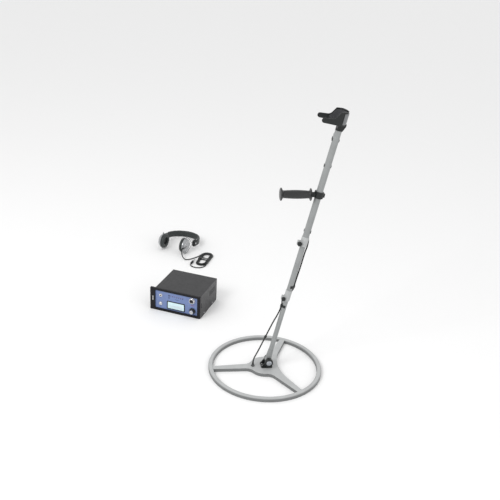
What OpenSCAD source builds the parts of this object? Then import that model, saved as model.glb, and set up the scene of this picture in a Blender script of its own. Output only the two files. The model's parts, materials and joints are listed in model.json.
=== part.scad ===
// Deep-search metal detector: a three-spoke ring coil on a telescopic pole with a side grip and an
// arm cup, its control box, and its headphones. The coil stands on the floor, the box and the
// headphones lie behind it. Units are millimetres, +Z is up, and the origin is the middle of the
// coil's underside.

/* [Search coil] */
// Outer diameter of the coil ring
ring_d = 460; // [440:5:480]
// Width of the ring, measured along its radius
ring_w = 18; // [17:0.5:20]
// Height of the ring above the floor
ring_h = 16; // [15:0.5:18]
// Radius of the round side of the hub
hub_r = 62; // [58:1:66]
// Narrowest distance from the hub's centre to its hollow side
waist_r = 53; // [50:1:56]
// Half the width of a spoke at the hub
spoke_root = 16; // [15:0.5:18]
// Half the width of a spoke at the ring
spoke_tip = 10.5; // [9:0.5:12]

/* [Pole] */
// Lean of the pole from upright, towards the user
tilt = 11.8; // [8:0.2:20]
// Height of the pivot above the floor
pivot_z = 42; // [41:1:46]
// Outer radius of the lower tube
lower_r = 9.5; // [9.5:0.1:9.5]
// Distance from the pivot to the bottom of the lower collar
lower_collar_l = 279; // [275:1:285]
// Distance from the pivot to the bottom of the upper collar
upper_collar_l = 520; // [515:1:525]
// Distance from the pivot to the top of the upper tube
tube_top_l = 984; // [975:1:990]

/* [Handle and arm cup] */
// Distance from the pivot to the middle of the handle clamp
handle_l = 733; // [725:1:740]
// Angle by which the grip slopes down from square to the pole
handle_cant = 10.5; // [8:0.5:12]
// Length of the grip over its flanges
grip_len = 121; // [118:1:130]
// Half the inside width of the arm cup
cup_r = 33; // [32:1:36]
// Length of the arm cup's arms, measured from the pole's axis
cup_reach = 82; // [78:1:86]

/* [Control box] */
// Width of the front frame
box_w = 246; // [240:1:252]
// Depth of the case
box_d = 200; // [190:1:210]
// Height of the case
box_h = 112; // [110:1:116]
// Where the box stands, across
box_x = -290; // [-320:5:-280]
// Where the box stands, behind the coil
box_y = 550; // [540:5:600]
// Turn of the box about the vertical
box_turn = -28; // [-32:1:-20]

/* [Headphones] */
// Where the headphones lie, across
phones_x = -300; // [-340:5:-260]
// Where the headphones lie, behind the coil
phones_y = 1120; // [1080:5:1160]
// Turn of the headphones about the vertical
phones_turn = -32; // [-36:1:-28]
// Outer diameter of an ear cushion
cushion_d = 78; // [76:1:80]
// Distance between the middles of the ear cups
cup_gap = 124; // [120:1:128]

/* [Hidden] */
$fn = 64;
wall = 1.5;
eps = 0.01;
// search coil
ring_r = ring_d / 2;
ring_mid_r = ring_r - ring_w / 2;
cover_h = 2.5;
plate_top = 14;
winding_w = 9;
winding_h = 7;
spoke_end_r = ring_mid_r - 2;
root_fillet = 35;
pocket_r = 34;
pocket_top = 9;
gland_x = -50;
// pole
pivot_x = 11;
lug_in = 11;
lug_t = 6;
yoke_half = 9.9;
bolt_r = 4;
lower_wall = 2;
middle_r = 11;
middle_in = 9.6;
upper_r = 12.5;
upper_in = 11.1;
lower_tube_l = 26;
lower_top_l = 430;
middle_top_l = 680;
collar_seat = 15;
stud_r = 2.5;
ear_near = 9.5;
ear_far = 6;
lower_ear = 3.8;
upper_ear = 5.4;
// cable, with its route round the pole as [radius, angle, distance from the pivot]
cable_r = 2.75;
clip_t = 10;
clip_low_l = 248;
clip_mid_l = 338;
clip_up_l = 577;
clip_top_l = 842;
route_hub = [[-50, 0, 24], [-49.6, 0, 34], [-46, 0, 52], [-28, 0, 94]];
route_lower = [[27.7, 180, 162], [18.5, 179, 202], [13.9, 178, 226], [12.6, 176, 243], [12.5, 176, 259.4]];
route_round = [[12.5, 176, 260], [12.9, 172, 264], [14.8, 156, 271], [17.4, 138, 279],
    [18.6, 118, 289], [18.2, 88, 300], [17, 58, 311], [15.9, 32, 320], [14.9, 12, 328],
    [14.1, 1.5, 334], [14, 0, 338], [14, 0, 344], [14, 0, 349.7]];
route_middle = [[14, 0, 350.3], [14.2, 0, 380], [15.4, 0, 430], [15.2, 0, 480], [16, 0, 503], [17.4, 2, 518],
    [17.5, 12, 536], [17.5, 34, 554], [16.4, 52, 565], [15.6, 58.5, 572], [15.4, 60, 577], [15.4, 60, 587.7]];
route_upper = [[15.4, 60, 588.3], [15.8, 66, 612], [18, 74, 650], [21.8, 80, 684], [21.8, 82.5, 702],
    [21.8, 82.5, 733], [21.8, 82.5, 764], [21.8, 82.5, 782], [17, 86.5, 815], [15.6, 88, 832],
    [15.4, 88, 840], [15.4, 88, 854], [15.8, 88, 890], [18.5, 88, 912], [21, 88, 925], [21.2, 88, 936]];
// handle
liner_r = 13.8;
clamp_r = 18.5;
clamp_h = 22;
rod_r = 4;
grip_start = 26.5;
// arm cup
cup_l = 1008;
cup_h = 52;
cup_wall = 3;
cup_mid = -20;
pad_t = 3;
neck_r = 12;
// control box
frame_t = 8;
panel_left = 24;
panel_right = 15;
panel_edge = 11;
panel_t = 2;
panel_back = 5;
body_left = -box_w / 2 + panel_left;
body_right = box_w / 2;
body_w = body_right - body_left;
body_mid = (body_left + body_right) / 2;
panel_w = box_w - panel_left - panel_right;
panel_mid = (panel_left - panel_right) / 2;
panel_h = box_h - 2 * panel_edge;
front_y = -box_d / 2;
window_x = -2;
window_z = 36;
window_w = 82;
window_h = 34;
socket_x = 78;
socket_z = 84;
socket_r = 14;
tuner_x = 80;
tuner_z = 32;
button_x = -77;
button_z = 36;
jack_z = 78;
lights_x = 2;
lights_z = 84;
// headphones
cup_half = cup_gap / 2;
cushion_t = 17;
shell_t = 20;
band_r = 88;
band_y = 95;
band_t = 2.5;
band_w = 30;
band_sweep = 200;
pad_thick = 9;
pad_wide = 38;
lie = 7.9;
phones_z = 44.8;
phone_cord_r = 2.5;
hank_x = 190;
hank_y = -22;
hank_run = 84;
hank_in = 14;
hank_out = 32;
hank_h = 10;
hank_turn = 97;
plug_at = [-72, 46, 5.5];
// the cord's route from the ear cup to the hank and from the hank to the plug, in the hank's frame
route_phone = [[-0.5, 120.4, 43], [-9, 121, 41.2], [-22, 117.5, 31], [-33.5, 108, 14], [-38.5, 92, 3.2],
    [-32, 76, 2.6], [-14, 62, 2.6], [8, 48, 2.6], [28, 38.5, 2.6], [46, 34.9, 2.6]];
route_loop = [[-60, -29.8, 5], [-74, -27, 3], [-90, -18, 2.6], [-101, 0, 2.6], [-101, 22, 2.6],
    [-92, 40, 2.8], [-80, 46, 4.4], [-72.6, 46, 5.5]];

// ---------- outlines and sweeps ----------

function arc(c, r, a0, a1, n) = [for (i = [0:n]) let (a = a0 + (a1 - a0) * i / n) c + r * [cos(a), sin(a)]];

function turned(points, a) = [for (p = points) [p.x * cos(a) - p.y * sin(a), p.x * sin(a) + p.y * cos(a)]];

// Smooth points through the control points p, n to each span.
function smooth(p, n) = [for (i = [0:len(p) - 2], k = [0:n - 1])
        let (a = p[max(i - 1, 0)], b = p[i], c = p[i + 1], d = p[min(i + 2, len(p) - 1)], t = k / n)
        0.5 * (2 * b + (c - a) * t + (2 * a - 5 * b + 4 * c - d) * t * t
            + (3 * b - a - 3 * c + d) * t * t * t),
    p[len(p) - 1]];

function unit(v) = v / norm(v);

function heading(p, i) = unit(p[min(i + 1, len(p) - 1)] - p[max(i - 1, 0)]);

// A round tube swept along the points p, with its ends square.
module sweep(p, r, sides = 8, side = [0, 1, 0]) {
    n = len(p);
    points = [for (i = [0:n - 1])
        let (t = heading(p, i), u = unit(cross(t, side)), v = cross(t, u))
        for (k = [0:sides - 1]) p[i] + r * (u * cos(360 * k / sides) + v * sin(360 * k / sides))];
    caps = [[for (k = [0:sides - 1]) k], [for (k = [sides - 1:-1:0]) (n - 1) * sides + k]];
    walls = [for (i = [0:n - 2], k = [0:sides - 1], half = [0, 1])
        let (a = i * sides + k, b = i * sides + (k + 1) % sides)
        half == 0 ? [a, a + sides, b] : [b, a + sides, b + sides]];
    polyhedron(points, concat(caps, walls), convexity = 6);
}

module ring(r_out, r_in, h) {
    difference() {
        cylinder(r = r_out, h = h);
        translate([0, 0, -1]) cylinder(r = r_in, h = h + 2);
    }
}

// A box with its four upright edges rounded.
module round_box(x, y, z, r) {
    linear_extrude(z) round_rect(x, y, r);
}

module round_rect(x, y, r) {
    square([x - 2 * r, y], center = true);
    square([x, y - 2 * r], center = true);
    for (sx = [-1, 1], sy = [-1, 1])
        translate([sx * (x / 2 - r), sy * (y / 2 - r)]) circle(r, $fn = 32);
}

// ---------- search coil ----------

// Half of the outline between two spokes 120 degrees apart, about the line half way between them.
hollow_c = (waist_r - spoke_root) / (1 - sin(60));
hollow_side = arc([hollow_c, 0], hollow_c - waist_r, 150, 210, 24);
fillet_c = [sqrt(pow(hub_r + root_fillet, 2) - pow(spoke_root + root_fillet, 2)), spoke_root + root_fillet];
fillet_a = atan2(fillet_c.y, fillet_c.x);
fillet_up = arc(fillet_c, root_fillet, -90, -180 + fillet_a, 8);
round_side = concat(turned(fillet_up, -60), arc([0, 0], hub_r, fillet_a - 60, 60 - fillet_a, 16),
    [for (i = [len(fillet_up) - 1:-1:0]) let (p = turned([[fillet_up[i].x, -fillet_up[i].y]], 60)[0]) p]);
spoke_end = [[spoke_end_r, -spoke_tip], [spoke_end_r, spoke_tip]];
spider_outline = concat(
    turned(spoke_end, -60), [for (i = [len(hollow_side) - 1:-1:0]) hollow_side[i]],
    turned(spoke_end, 60), turned(round_side, 120),
    turned(spoke_end, 180), turned(round_side, 240));

module spider() {
    polygon(spider_outline);
}

module ring_section() {
    corner = 5.5;
    for (s = [-1, 1])
        translate([ring_mid_r + s * (ring_w / 2 - corner), ring_h - corner]) circle(corner, $fn = 48);
    translate([ring_mid_r - ring_w / 2, cover_h]) square([ring_w, ring_h - corner - cover_h]);
    translate([ring_mid_r - ring_w / 2 + corner, cover_h]) square([ring_w - 2 * corner, ring_h - cover_h]);
}

module coil_top_shell() color("gainsboro") {
    difference() {
        union() {
            rotate_extrude($fn = 128) ring_section();
            translate([0, 0, cover_h]) linear_extrude(plate_top - cover_h) spider();
        }
        translate([0, 0, cover_h - 1])
            ring(ring_mid_r + winding_w / 2 + 0.5, ring_mid_r - winding_w / 2 - 0.5, winding_h + 2);
        translate([0, 0, cover_h - 1]) cylinder(r = pocket_r, h = pocket_top - cover_h + 1);
        translate([-ring_mid_r, -4, cover_h - 1]) cube([ring_mid_r, 8, pocket_top - cover_h + 1]);
        translate([gland_x, 0, 0]) cylinder(r = 5, h = 20);
        bracket_holes(1.6);
    }
}

module coil_bottom_cover() color("silver") {
    difference() {
        union() {
            ring(ring_r, ring_r - ring_w, cover_h);
            linear_extrude(cover_h) spider();
        }
        for (a = [60, 180, 300]) rotate(a) translate([150, 0, -1]) cylinder(r = 2, h = cover_h + 2);
    }
}

module coil_winding() color("darkorange") {
    translate([0, 0, cover_h + 0.2]) ring(ring_mid_r + winding_w / 2, ring_mid_r - winding_w / 2, winding_h);
    for (s = [-1, 1]) translate([-ring_mid_r + winding_w / 2, s * 2, cover_h + 1.5])
        rotate([0, 90, 0]) cylinder(r = 0.8, h = ring_mid_r - winding_w / 2 - 30, $fn = 16);
}

module cable_gland() color("dimgray") {
    translate([gland_x, 0, 0]) difference() {
        union() {
            translate([0, 0, cover_h + 2.5]) cylinder(r = 4.9, h = plate_top - cover_h - 2.5);
            translate([0, 0, plate_top]) cylinder(r = 7.5, h = 4, $fn = 6);
            translate([0, 0, plate_top + 4]) cylinder(r1 = 6, r2 = 4, h = 5);
        }
        cylinder(r = cable_r + 0.05, h = 40);
    }
}

module bracket_holes(r) {
    for (sx = [-1, 1], sy = [-1, 1])
        translate([5 + sx * 17, sy * 6, pocket_top + 0.5]) cylinder(r = r, h = 20, $fn = 32);
}

lug_profile = concat([[-16, 0], [26, 0]], arc([pivot_x, pivot_z - plate_top - 4], 12.5, -15, 195, 20));

module pivot_bracket() color([0.12, 0.13, 0.13]) {
    difference() {
        union() {
            translate([5, 0, plate_top]) linear_extrude(4) round_rect(46, 42, 6);
            for (s = [-1, 1]) translate([0, s * (lug_in + lug_t / 2) + lug_t / 2, plate_top + 4 - eps])
                rotate([90, 0, 0]) linear_extrude(lug_t) polygon(lug_profile);
        }
        translate([pivot_x, 0, pivot_z]) rotate([90, 0, 0])
            cylinder(r = bolt_r + 0.05, h = 60, center = true);
        bracket_holes(1.6);
    }
}

module bracket_screws() color("silver") {
    for (sx = [-1, 1], sy = [-1, 1]) translate([5 + sx * 17, sy * 6, plate_top]) {
        translate([0, 0, -4]) cylinder(r = 1.5, h = 8 + eps, $fn = 32);
        translate([0, 0, 4]) cylinder(r1 = 3, r2 = 2, h = 1.8, $fn = 32);
    }
}

module pivot_bolt() color("silver") {
    translate([pivot_x, 0, pivot_z]) rotate([90, 0, 0]) {
        translate([0, 0, -20]) cylinder(r = bolt_r, h = 50);
        translate([0, 0, -23.5]) cylinder(r = 7.5, h = 6.4, $fn = 6);
    }
}

// A round knob with finger flutes, its axis along +Z and its base at the origin.
module fluted_knob(r, h, flutes, bore) {
    difference() {
        union() {
            cylinder(r = r, h = h - 1.5);
            translate([0, 0, h - 1.5]) cylinder(r1 = r, r2 = r - 1.5, h = 1.5);
        }
        for (i = [0:flutes - 1])
            rotate(i * 360 / flutes) translate([r + 1.6, 0, -1]) cylinder(r = 3, h = h + 2, $fn = 32);
        translate([0, 0, -1]) cylinder(r = bore, h = h + 2);
    }
}

module at_pivot_knob() {
    translate([pivot_x, -lug_in - lug_t - 0.4, pivot_z]) rotate([90, 0, 0]) children();
}

module pivot_knob() color([0.1, 0.1, 0.11]) {
    at_pivot_knob() fluted_knob(16.5, 14, 8, 11);
}

module pivot_knob_cap() color("white") {
    at_pivot_knob() difference() {
        union() {
            cylinder(r = 11, h = 14);
            translate([0, 0, 14]) cylinder(r1 = 11, r2 = 8, h = 2.5);
        }
        translate([0, 0, -1]) cylinder(r = bolt_r + 0.05, h = 14);
    }
}

// ---------- pole ----------

module on_pole(l = 0) {
    translate([pivot_x, 0, pivot_z]) rotate([0, tilt, 0]) translate([0, 0, l]) children();
}

// A point of the part's own frame, told in the pole's frame.
function in_pole(p) = let (d = p - [pivot_x, 0, pivot_z])
    [d.x * cos(tilt) - d.z * sin(tilt), d.y, d.x * sin(tilt) + d.z * cos(tilt)];

function round_pole(p) = [p[0] * cos(p[1]), p[0] * sin(p[1]), p[2]];

module pole_yoke() color("darkgray") {
    on_pole() difference() {
        union() {
            rotate([90, 0, 0]) cylinder(r = 12.5, h = 2 * yoke_half, center = true);
            translate([-9.5, -yoke_half, 0]) cube([19, 2 * yoke_half, 20]);
            translate([0, 0, 13.2]) cylinder(r = 12, h = 8.8 + eps);
            translate([0, 0, 22]) cylinder(r1 = 12, r2 = lower_r + 1, h = 26);
            cylinder(r = lower_r - lower_wall, h = 60);
        }
        rotate([90, 0, 0]) cylinder(r = bolt_r + 0.06, h = 60, center = true);
        translate([0, 0, lower_tube_l]) ring(lower_r, lower_r - lower_wall, 40);
    }
}

module lower_tube() color("darkgray") {
    on_pole(lower_tube_l) ring(lower_r, lower_r - lower_wall, lower_top_l - lower_tube_l);
}

module middle_tube() color("darkgray") {
    on_pole(lower_collar_l + collar_seat)
        ring(middle_r, middle_in, middle_top_l - lower_collar_l - collar_seat);
}

module upper_tube() color("darkgray") {
    on_pole(upper_collar_l + collar_seat) ring(upper_r, upper_in, tube_top_l - upper_collar_l - collar_seat);
}

// A split clamp collar: it seats the outer tube from above and pinches the inner one with a
// screw through the ear on its left. The far side of the ear carries a fixed nut.
module collar(l, h, r, outer, inner, ear) {
    on_pole(l) difference() {
        union() {
            cylinder(r1 = r - 1.2, r2 = r, h = 4);
            translate([0, 0, 4]) cylinder(r = r, h = h - 6);
            translate([0, 0, h - 2]) cylinder(r1 = r, r2 = r - 1, h = 2);
            translate([-r - ear - 5.5, -ear_near, 2]) cube([r, ear_near + ear_far, 17]);
            translate([-r - ear, ear_far, 10.5]) rotate([-90, 0, 0]) cylinder(r = 5, h = 2.6, $fn = 6);
        }
        translate([0, 0, -1]) cylinder(r = inner, h = h);
        translate([0, 0, collar_seat]) cylinder(r = outer + 0.02, h = h);
        translate([-r - 20, -0.75, -1]) cube([r + 12, 1.5, collar_seat + 5]);
        translate([-r - ear, 0, 10.5]) rotate([90, 0, 0]) cylinder(r = stud_r + 0.05, h = 60, center = true);
    }
}

module lower_collar() color("lightgray") {
    collar(lower_collar_l, 46, 12.8, middle_r, middle_in, lower_ear);
}

module upper_collar() color("lightgray") {
    collar(upper_collar_l, 39, 14.3, upper_r, upper_in, upper_ear);
}

// The pinch screw of a collar, its knob towards the front and its stud in the same solid.
module collar_knob(l, x, knob_r) {
    on_pole(l) translate([-x, -ear_near - 0.4, 10.5]) rotate([90, 0, 0]) {
        fluted_knob(knob_r, 10, 8, 1);
        translate([0, 0, -ear_near - ear_far - 3.6]) cylinder(r = stud_r, h = ear_near + ear_far + 12.6);
    }
}

module lower_collar_knob() color([0.1, 0.1, 0.11]) {
    collar_knob(lower_collar_l, 12.8 + lower_ear, 8);
}

module upper_collar_knob() color([0.1, 0.1, 0.11]) {
    collar_knob(upper_collar_l, 14.3 + upper_ear, 9);
}

// An open clip that snaps on a tube of radius r and holds the cable beside it.
module cable_clip(l, r, at, angle, held = cable_r) {
    on_pole(l) rotate(angle) difference() {
        union() {
            cylinder(r = r + 1.8, h = clip_t);
            translate([at, 0, 0]) cylinder(r = held + 1.7, h = clip_t, $fn = 48);
        }
        translate([0, 0, -1]) cylinder(r = r + 0.02, h = clip_t + 2);
        translate([-r - 10, -r - 10, -1]) cube([r * 0.75 + 10, 2 * r + 20, clip_t + 2]);
        translate([at, 0, -1]) cylinder(r = held + 0.05, h = clip_t + 2, $fn = 48);
    }
}

module lower_cable_clip() color([0.2, 0.21, 0.21]) {
    cable_clip(clip_low_l, lower_r, 12.5, 176);
}

module middle_cable_clip() color([0.2, 0.21, 0.21]) {
    cable_clip(clip_mid_l, middle_r, 14, 0);
}

module upper_cable_clips() color([0.2, 0.21, 0.21]) {
    cable_clip(clip_up_l, upper_r, 15.4, 60);
    cable_clip(clip_top_l, upper_r, 15.4, 88);
    cable_clip(tube_top_l - 42, upper_r, 21.2, 88, 8);
}

module pole_cable(route, steps) {
    on_pole() sweep(smooth([for (p = route) round_pole(p)], steps), cable_r);
}

module coil_cable_low() color([0.2, 0.21, 0.21]) {
    route = concat([for (p = route_hub) in_pole(p)], [for (p = route_lower) round_pole(p)]);
    on_pole() sweep(smooth(route, 5), cable_r);
}

module coil_cable_round() color([0.2, 0.21, 0.21]) {
    pole_cable(route_round, 5);
}

module coil_cable_middle() color([0.2, 0.21, 0.21]) {
    pole_cable(route_middle, 4);
}

module coil_cable_upper() color([0.2, 0.21, 0.21]) {
    pole_cable(route_upper, 4);
}

module pole_connector() color("silver") {
    on_pole(tube_top_l - 49) rotate(88) translate([21.2, 0, 0]) difference() {
        union() {
            cylinder(r1 = 5, r2 = 8, h = 7);
            translate([0, 0, 7]) cylinder(r = 8, h = 24);
            translate([0, 0, 20]) cylinder(r = 8.5, h = 9);
        }
        translate([0, 0, 23]) cylinder(r = 6.5, h = 20);
        translate([0, 0, -1]) cylinder(r = cable_r + 0.1, h = 3);
    }
}

// ---------- handle ----------

module on_handle() {
    on_pole(handle_l) rotate([0, -90 - handle_cant, 0]) children();
}

module handle_liner() color([0.25, 0.26, 0.26]) {
    on_pole(handle_l) difference() {
        union() {
            cylinder(r = liner_r, h = clamp_h + 4, center = true);
            for (s = [-1, 1])
                translate([0, 0, s * (clamp_h / 2 + 1.2)]) cylinder(r = liner_r + 2, h = 1.6, center = true);
        }
        cylinder(r = upper_r + 0.1, h = 60, center = true);
    }
}

module handle_clamp() color([0.16, 0.17, 0.17]) {
    difference() {
        union() {
            on_pole(handle_l - clamp_h / 2) cylinder(r = clamp_r, h = clamp_h);
            on_handle() cylinder(r = 10, h = grip_start - 1.5);
            on_pole(handle_l - clamp_h / 2) translate([clamp_r - 4, -5, 4]) cube([8, 10, clamp_h - 8]);
        }
        on_pole(handle_l - clamp_h) cylinder(r = liner_r + 0.1, h = 2 * clamp_h);
        on_pole(handle_l - clamp_h / 2 - 2.4) cylinder(r = liner_r + 2.4, h = 2.3);
        on_handle() translate([0, 0, 13.5]) cylinder(r = rod_r + 0.06, h = 40);
    }
}

module handle_rod() color("silver") {
    on_handle() translate([0, 0, 15.2]) cylinder(r = rod_r, h = grip_start + grip_len - 8 - 15.2);
}

flange_r = 24.5;
grip_r = 14.5;
grip_side = concat(
    [[rod_r + 0.06, grip_start - 1], [12, grip_start - 1], [13.5, grip_start + 1]],
    [[23, grip_start + 3.2], [24, grip_start + 4.2], [23.4, grip_start + 5.4]],
    [[18, grip_start + 7], [grip_r, grip_start + 11]],
    [for (i = [0:12]) [grip_r + 1.8 * sin(15 * i), grip_start + 12 + (grip_len - 27) * i / 12]],
    [[grip_r + 1.5, grip_start + grip_len - 11], [20, grip_start + grip_len - 7.5]],
    [[flange_r - 0.8, grip_start + grip_len - 6], [flange_r, grip_start + grip_len - 4.6]],
    [[flange_r - 1, grip_start + grip_len - 3], [18, grip_start + grip_len - 0.8]],
    [[0, grip_start + grip_len]],
    [[0, grip_start + grip_len - 7.9], [rod_r + 0.06, grip_start + grip_len - 7.9]]);

module handle_grip() color([0.13, 0.14, 0.14]) {
    on_handle() rotate_extrude() polygon(grip_side);
}

// ---------- arm cup ----------

module cup_u(r, depth) {
    translate([cup_mid, 0]) circle(r);
    translate([cup_mid - depth, -r]) square([depth, 2 * r]);
}

// Side view of the cup: long prongs at the front edge, low walls behind.
cup_side = concat([[24, 0]], [[-cup_reach + 9, 0]], arc([-cup_reach + 9, 9], 9, 270, 90, 10),
    [[-48, 20]], arc([-48, 40], 20, -88, -38, 6), [[-20, 48], [2, cup_h], [24, cup_h]]);

module cup_trim() {
    rotate([90, 0, 0]) translate([0, 0, -60]) linear_extrude(120) polygon(cup_side);
}

neck_profile = [[-10, 0], [neck_r - 1, 0], [19.5, 20], [19.5, 29], [12, 29], [12, 25], [-10, 24]];
back_t = 2.2;
back_a = 64;

module arm_cup() color([0.1, 0.11, 0.11]) {
    on_pole(cup_l) difference() {
        union() {
            intersection() {
                linear_extrude(cup_h) cup_u(cup_r + cup_wall, cup_reach + cup_mid + 1);
                cup_trim();
            }
            translate([0, 11, tube_top_l - cup_l]) rotate([90, 0, 0])
                linear_extrude(22) polygon(neck_profile);
            translate([0, 0, tube_top_l - cup_l - 38]) cylinder(r = upper_in, h = 38 + eps);
            translate([0, 0, tube_top_l - cup_l]) cylinder(r = upper_r, h = 5);
        }
        translate([0, 0, -eps]) linear_extrude(cup_h + 20) cup_u(cup_r, cup_reach);
        cup_screw_holes(2);
    }
}

module cup_screw_holes(r) {
    for (z = [15, 36])
        translate([cup_r + cup_mid - 6, 0, z]) rotate([0, 90, 0]) cylinder(r = r, h = 20, $fn = 32);
}

// The grey plate behind the cup, which stiffens it.
module arm_cup_back() color("gray") {
    on_pole(cup_l) difference() {
        translate([cup_mid, 0, 5.5]) rotate(-back_a) rotate_extrude(angle = 2 * back_a)
            translate([cup_r + cup_wall + 0.04, 0]) square([back_t, cup_h - 12]);
        cup_screw_holes(2);
    }
}

module arm_cup_pad() color("dimgray") {
    on_pole(cup_l + 3) difference() {
        intersection() {
            linear_extrude(cup_h - 8) cup_u(cup_r, 22);
            translate([0, 0, -3]) cup_trim();
        }
        translate([0, 0, -1]) linear_extrude(cup_h) cup_u(cup_r - pad_t, 60);
        translate([0, 0, -3]) cup_screw_holes(4);
    }
}

module arm_cup_screws() color("silver") {
    on_pole(cup_l) for (z = [15, 36]) translate([cup_r + cup_mid, 0, z]) rotate([0, 90, 0]) {
        translate([0, 0, -2.4]) cylinder(r = 3.6, h = 2.15, $fn = 32);
        translate([0, 0, -0.3]) cylinder(r = 1.95, h = cup_wall + back_t + 0.3, $fn = 32);
        translate([0, 0, cup_wall + back_t + 0.06]) cylinder(r = 3.4, h = 2, $fn = 6);
        translate([0, 0, cup_wall + back_t - eps]) cylinder(r = 1.95, h = 0.1, $fn = 32);
    }
}

// ---------- control box ----------

module in_box() {
    translate([box_x, box_y, 0]) rotate(box_turn) children();
}

module case_tray() color([0.13, 0.13, 0.14]) {
    inner_w = body_w - 2 * wall - 0.4;
    in_box() translate([body_mid, 0, 0]) difference() {
        translate([-inner_w / 2, front_y + frame_t, 0]) cube([inner_w, box_d - frame_t, box_h - wall - 0.2]);
        translate([-inner_w / 2 + wall, front_y + frame_t - 1, wall])
            cube([inner_w - 2 * wall, box_d - frame_t - wall + 1, box_h]);
        translate([-box_w, front_y + frame_t - 1, 16]) cube([2 * box_w, box_d - frame_t - wall - 9, box_h]);
        translate([60, box_d / 2 - 6, 30]) rotate([-90, 0, 0]) cylinder(r = 5.5, h = 10);
        case_screw_holes(inner_w / 2);
    }
}

module case_screw_holes(reach) {
    for (s = [-1, 1], y = [-50, 50])
        translate([s * reach - 6, y, 9]) rotate([0, 90, 0]) cylinder(r = 1.6, h = 12, $fn = 32);
}

module case_cover() color([0.15, 0.15, 0.17]) {
    in_box() translate([body_mid, 0, 0]) difference() {
        translate([-body_w / 2, front_y + frame_t, 0]) cube([body_w, box_d - frame_t, box_h]);
        translate([-body_w / 2 + wall, front_y + frame_t - 1, -1])
            cube([body_w - 2 * wall, box_d + 2, box_h + 1 - wall]);
        case_screw_holes(body_w / 2);
        translate([body_w / 2 - 4, front_y + frame_t + 6, 48]) cube([8, 5, 26]);
        for (s = [-1, 1], i = [0:7]) translate([s * body_w / 2 - 4, 10 + 9 * i, 62]) cube([8, 3, 26]);
    }
}

module case_frame() color([0.08, 0.08, 0.09]) {
    in_box() translate([0, front_y, 0]) difference() {
        rotate([90, 0, 0]) translate([0, box_h / 2, -frame_t]) round_box(box_w, box_h, frame_t, 3);
        translate([panel_mid - panel_w / 2, -1, panel_edge]) cube([panel_w, frame_t + 2, panel_h]);
        translate([-box_w / 2 + 8, -1, box_h / 2 - 13]) cube([7, frame_t + 2, 26]);
    }
}

module front_panel() color([0.42, 0.5, 0.78]) {
    in_box() translate([panel_mid, front_y + panel_back, 0]) difference() {
        translate([-panel_w / 2, 0, panel_edge]) cube([panel_w, panel_t, panel_h]);
        translate([window_x - window_w / 2, -1, window_z - window_h / 2]) cube([window_w, 10, window_h]);
        panel_hole(socket_x, socket_z, socket_r - 3);
        panel_hole(tuner_x, tuner_z, 4.5);
        panel_hole(button_x, button_z, 5.1);
        panel_hole(button_x, jack_z, 4.6);
        for (i = [0:6]) panel_hole(lights_x + 10 * (i - 3), lights_z, 1.6);
    }
}

module panel_hole(x, z, r) {
    translate([x, -1, z]) rotate([-90, 0, 0]) cylinder(r = r, h = 20, $fn = 48);
}

module panel_thing(x, z) {
    in_box() translate([panel_mid + x, front_y + panel_back, z]) rotate([90, 0, 0]) children();
}

module display_module() color([0.1, 0.25, 0.15]) {
    panel_thing(window_x, window_z) {
        translate([-window_w / 2 - 5, -window_h / 2 - 5, -5.2]) cube([window_w + 10, window_h + 10, 1.6]);
        translate([-window_w / 2 - 1, -window_h / 2 - 1, -3.6]) cube([window_w + 2, window_h + 2, 1.5]);
    }
}

module display_window() color([0.75, 0.9, 0.92]) {
    panel_thing(window_x, window_z) translate([-window_w / 2 + 0.1, -window_h / 2 + 0.1, -2])
        cube([window_w - 0.2, window_h - 0.2, 2.6]);
}

module circuit_board() color("darkgreen") {
    in_box() translate([body_mid, 0, 0]) {
        translate([-80, -70, 10]) cube([100, 110, 1.6]);
        for (x = [-74, 14], y = [-64, 34]) translate([x, y, wall]) cylinder(r = 3, h = 10 - wall, $fn = 32);
        for (i = [0:3]) translate([-66 + 20 * i, -50, 11.6]) cube([12, 18, 3]);
        for (i = [0:2]) translate([-60 + 24 * i, 0, 11.6]) cylinder(r = 6, h = 16, $fn = 32);
    }
}

module battery_pack() color([0.2, 0.25, 0.5]) {
    in_box() translate([body_mid + 36, -20, wall]) cube([62, 90, 60]);
}

module coil_socket() color("silver") {
    panel_thing(socket_x, socket_z) {
        difference() {
            union() {
                cylinder(r = socket_r, h = 3);
                translate([0, 0, 3]) cylinder(r = 11.5, h = 8);
                translate([0, 0, -14]) cylinder(r = socket_r - 3.1, h = 14 + eps);
                translate([0, 0, -6]) cylinder(r = socket_r, h = 3.9, $fn = 6);
            }
            translate([0, 0, -2]) cylinder(r = 9.6, h = 20);
        }
        for (i = [0:4]) rotate(72 * i) translate([5, 0, -2 - eps]) cylinder(r = 0.9, h = 8, $fn = 24);
    }
}

module headphone_jack() color("silver") {
    panel_thing(button_x, jack_z) difference() {
        union() {
            cylinder(r = 6.5, h = 3.4);
            translate([0, 0, -22]) cylinder(r = 4.5, h = 22 + eps);
            translate([-6, -6, -24]) cube([12, 12, 20]);
        }
        translate([0, 0, -18]) cylinder(r = 3.2, h = 30);
    }
}

module case_screws() color("silver") {
    in_box() translate([body_mid, 0, 0]) for (s = [-1, 1], y = [-50, 50])
        translate([s * body_w / 2, y, 9]) rotate([0, s * 90, 0]) {
            cylinder(r1 = 3, r2 = 2.2, h = 1.4, $fn = 32);
            translate([0, 0, -5]) cylinder(r = 1.5, h = 5 + eps, $fn = 32);
        }
}

module signal_lights() color("crimson") {
    for (i = [0:6]) panel_thing(lights_x + 10 * (i - 3), lights_z) {
        translate([0, 0, -3]) cylinder(r = 1.5, h = 3.8, $fn = 24);
        translate([0, 0, -5]) cylinder(r = 2.2, h = 2, $fn = 24);
    }
}

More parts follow.
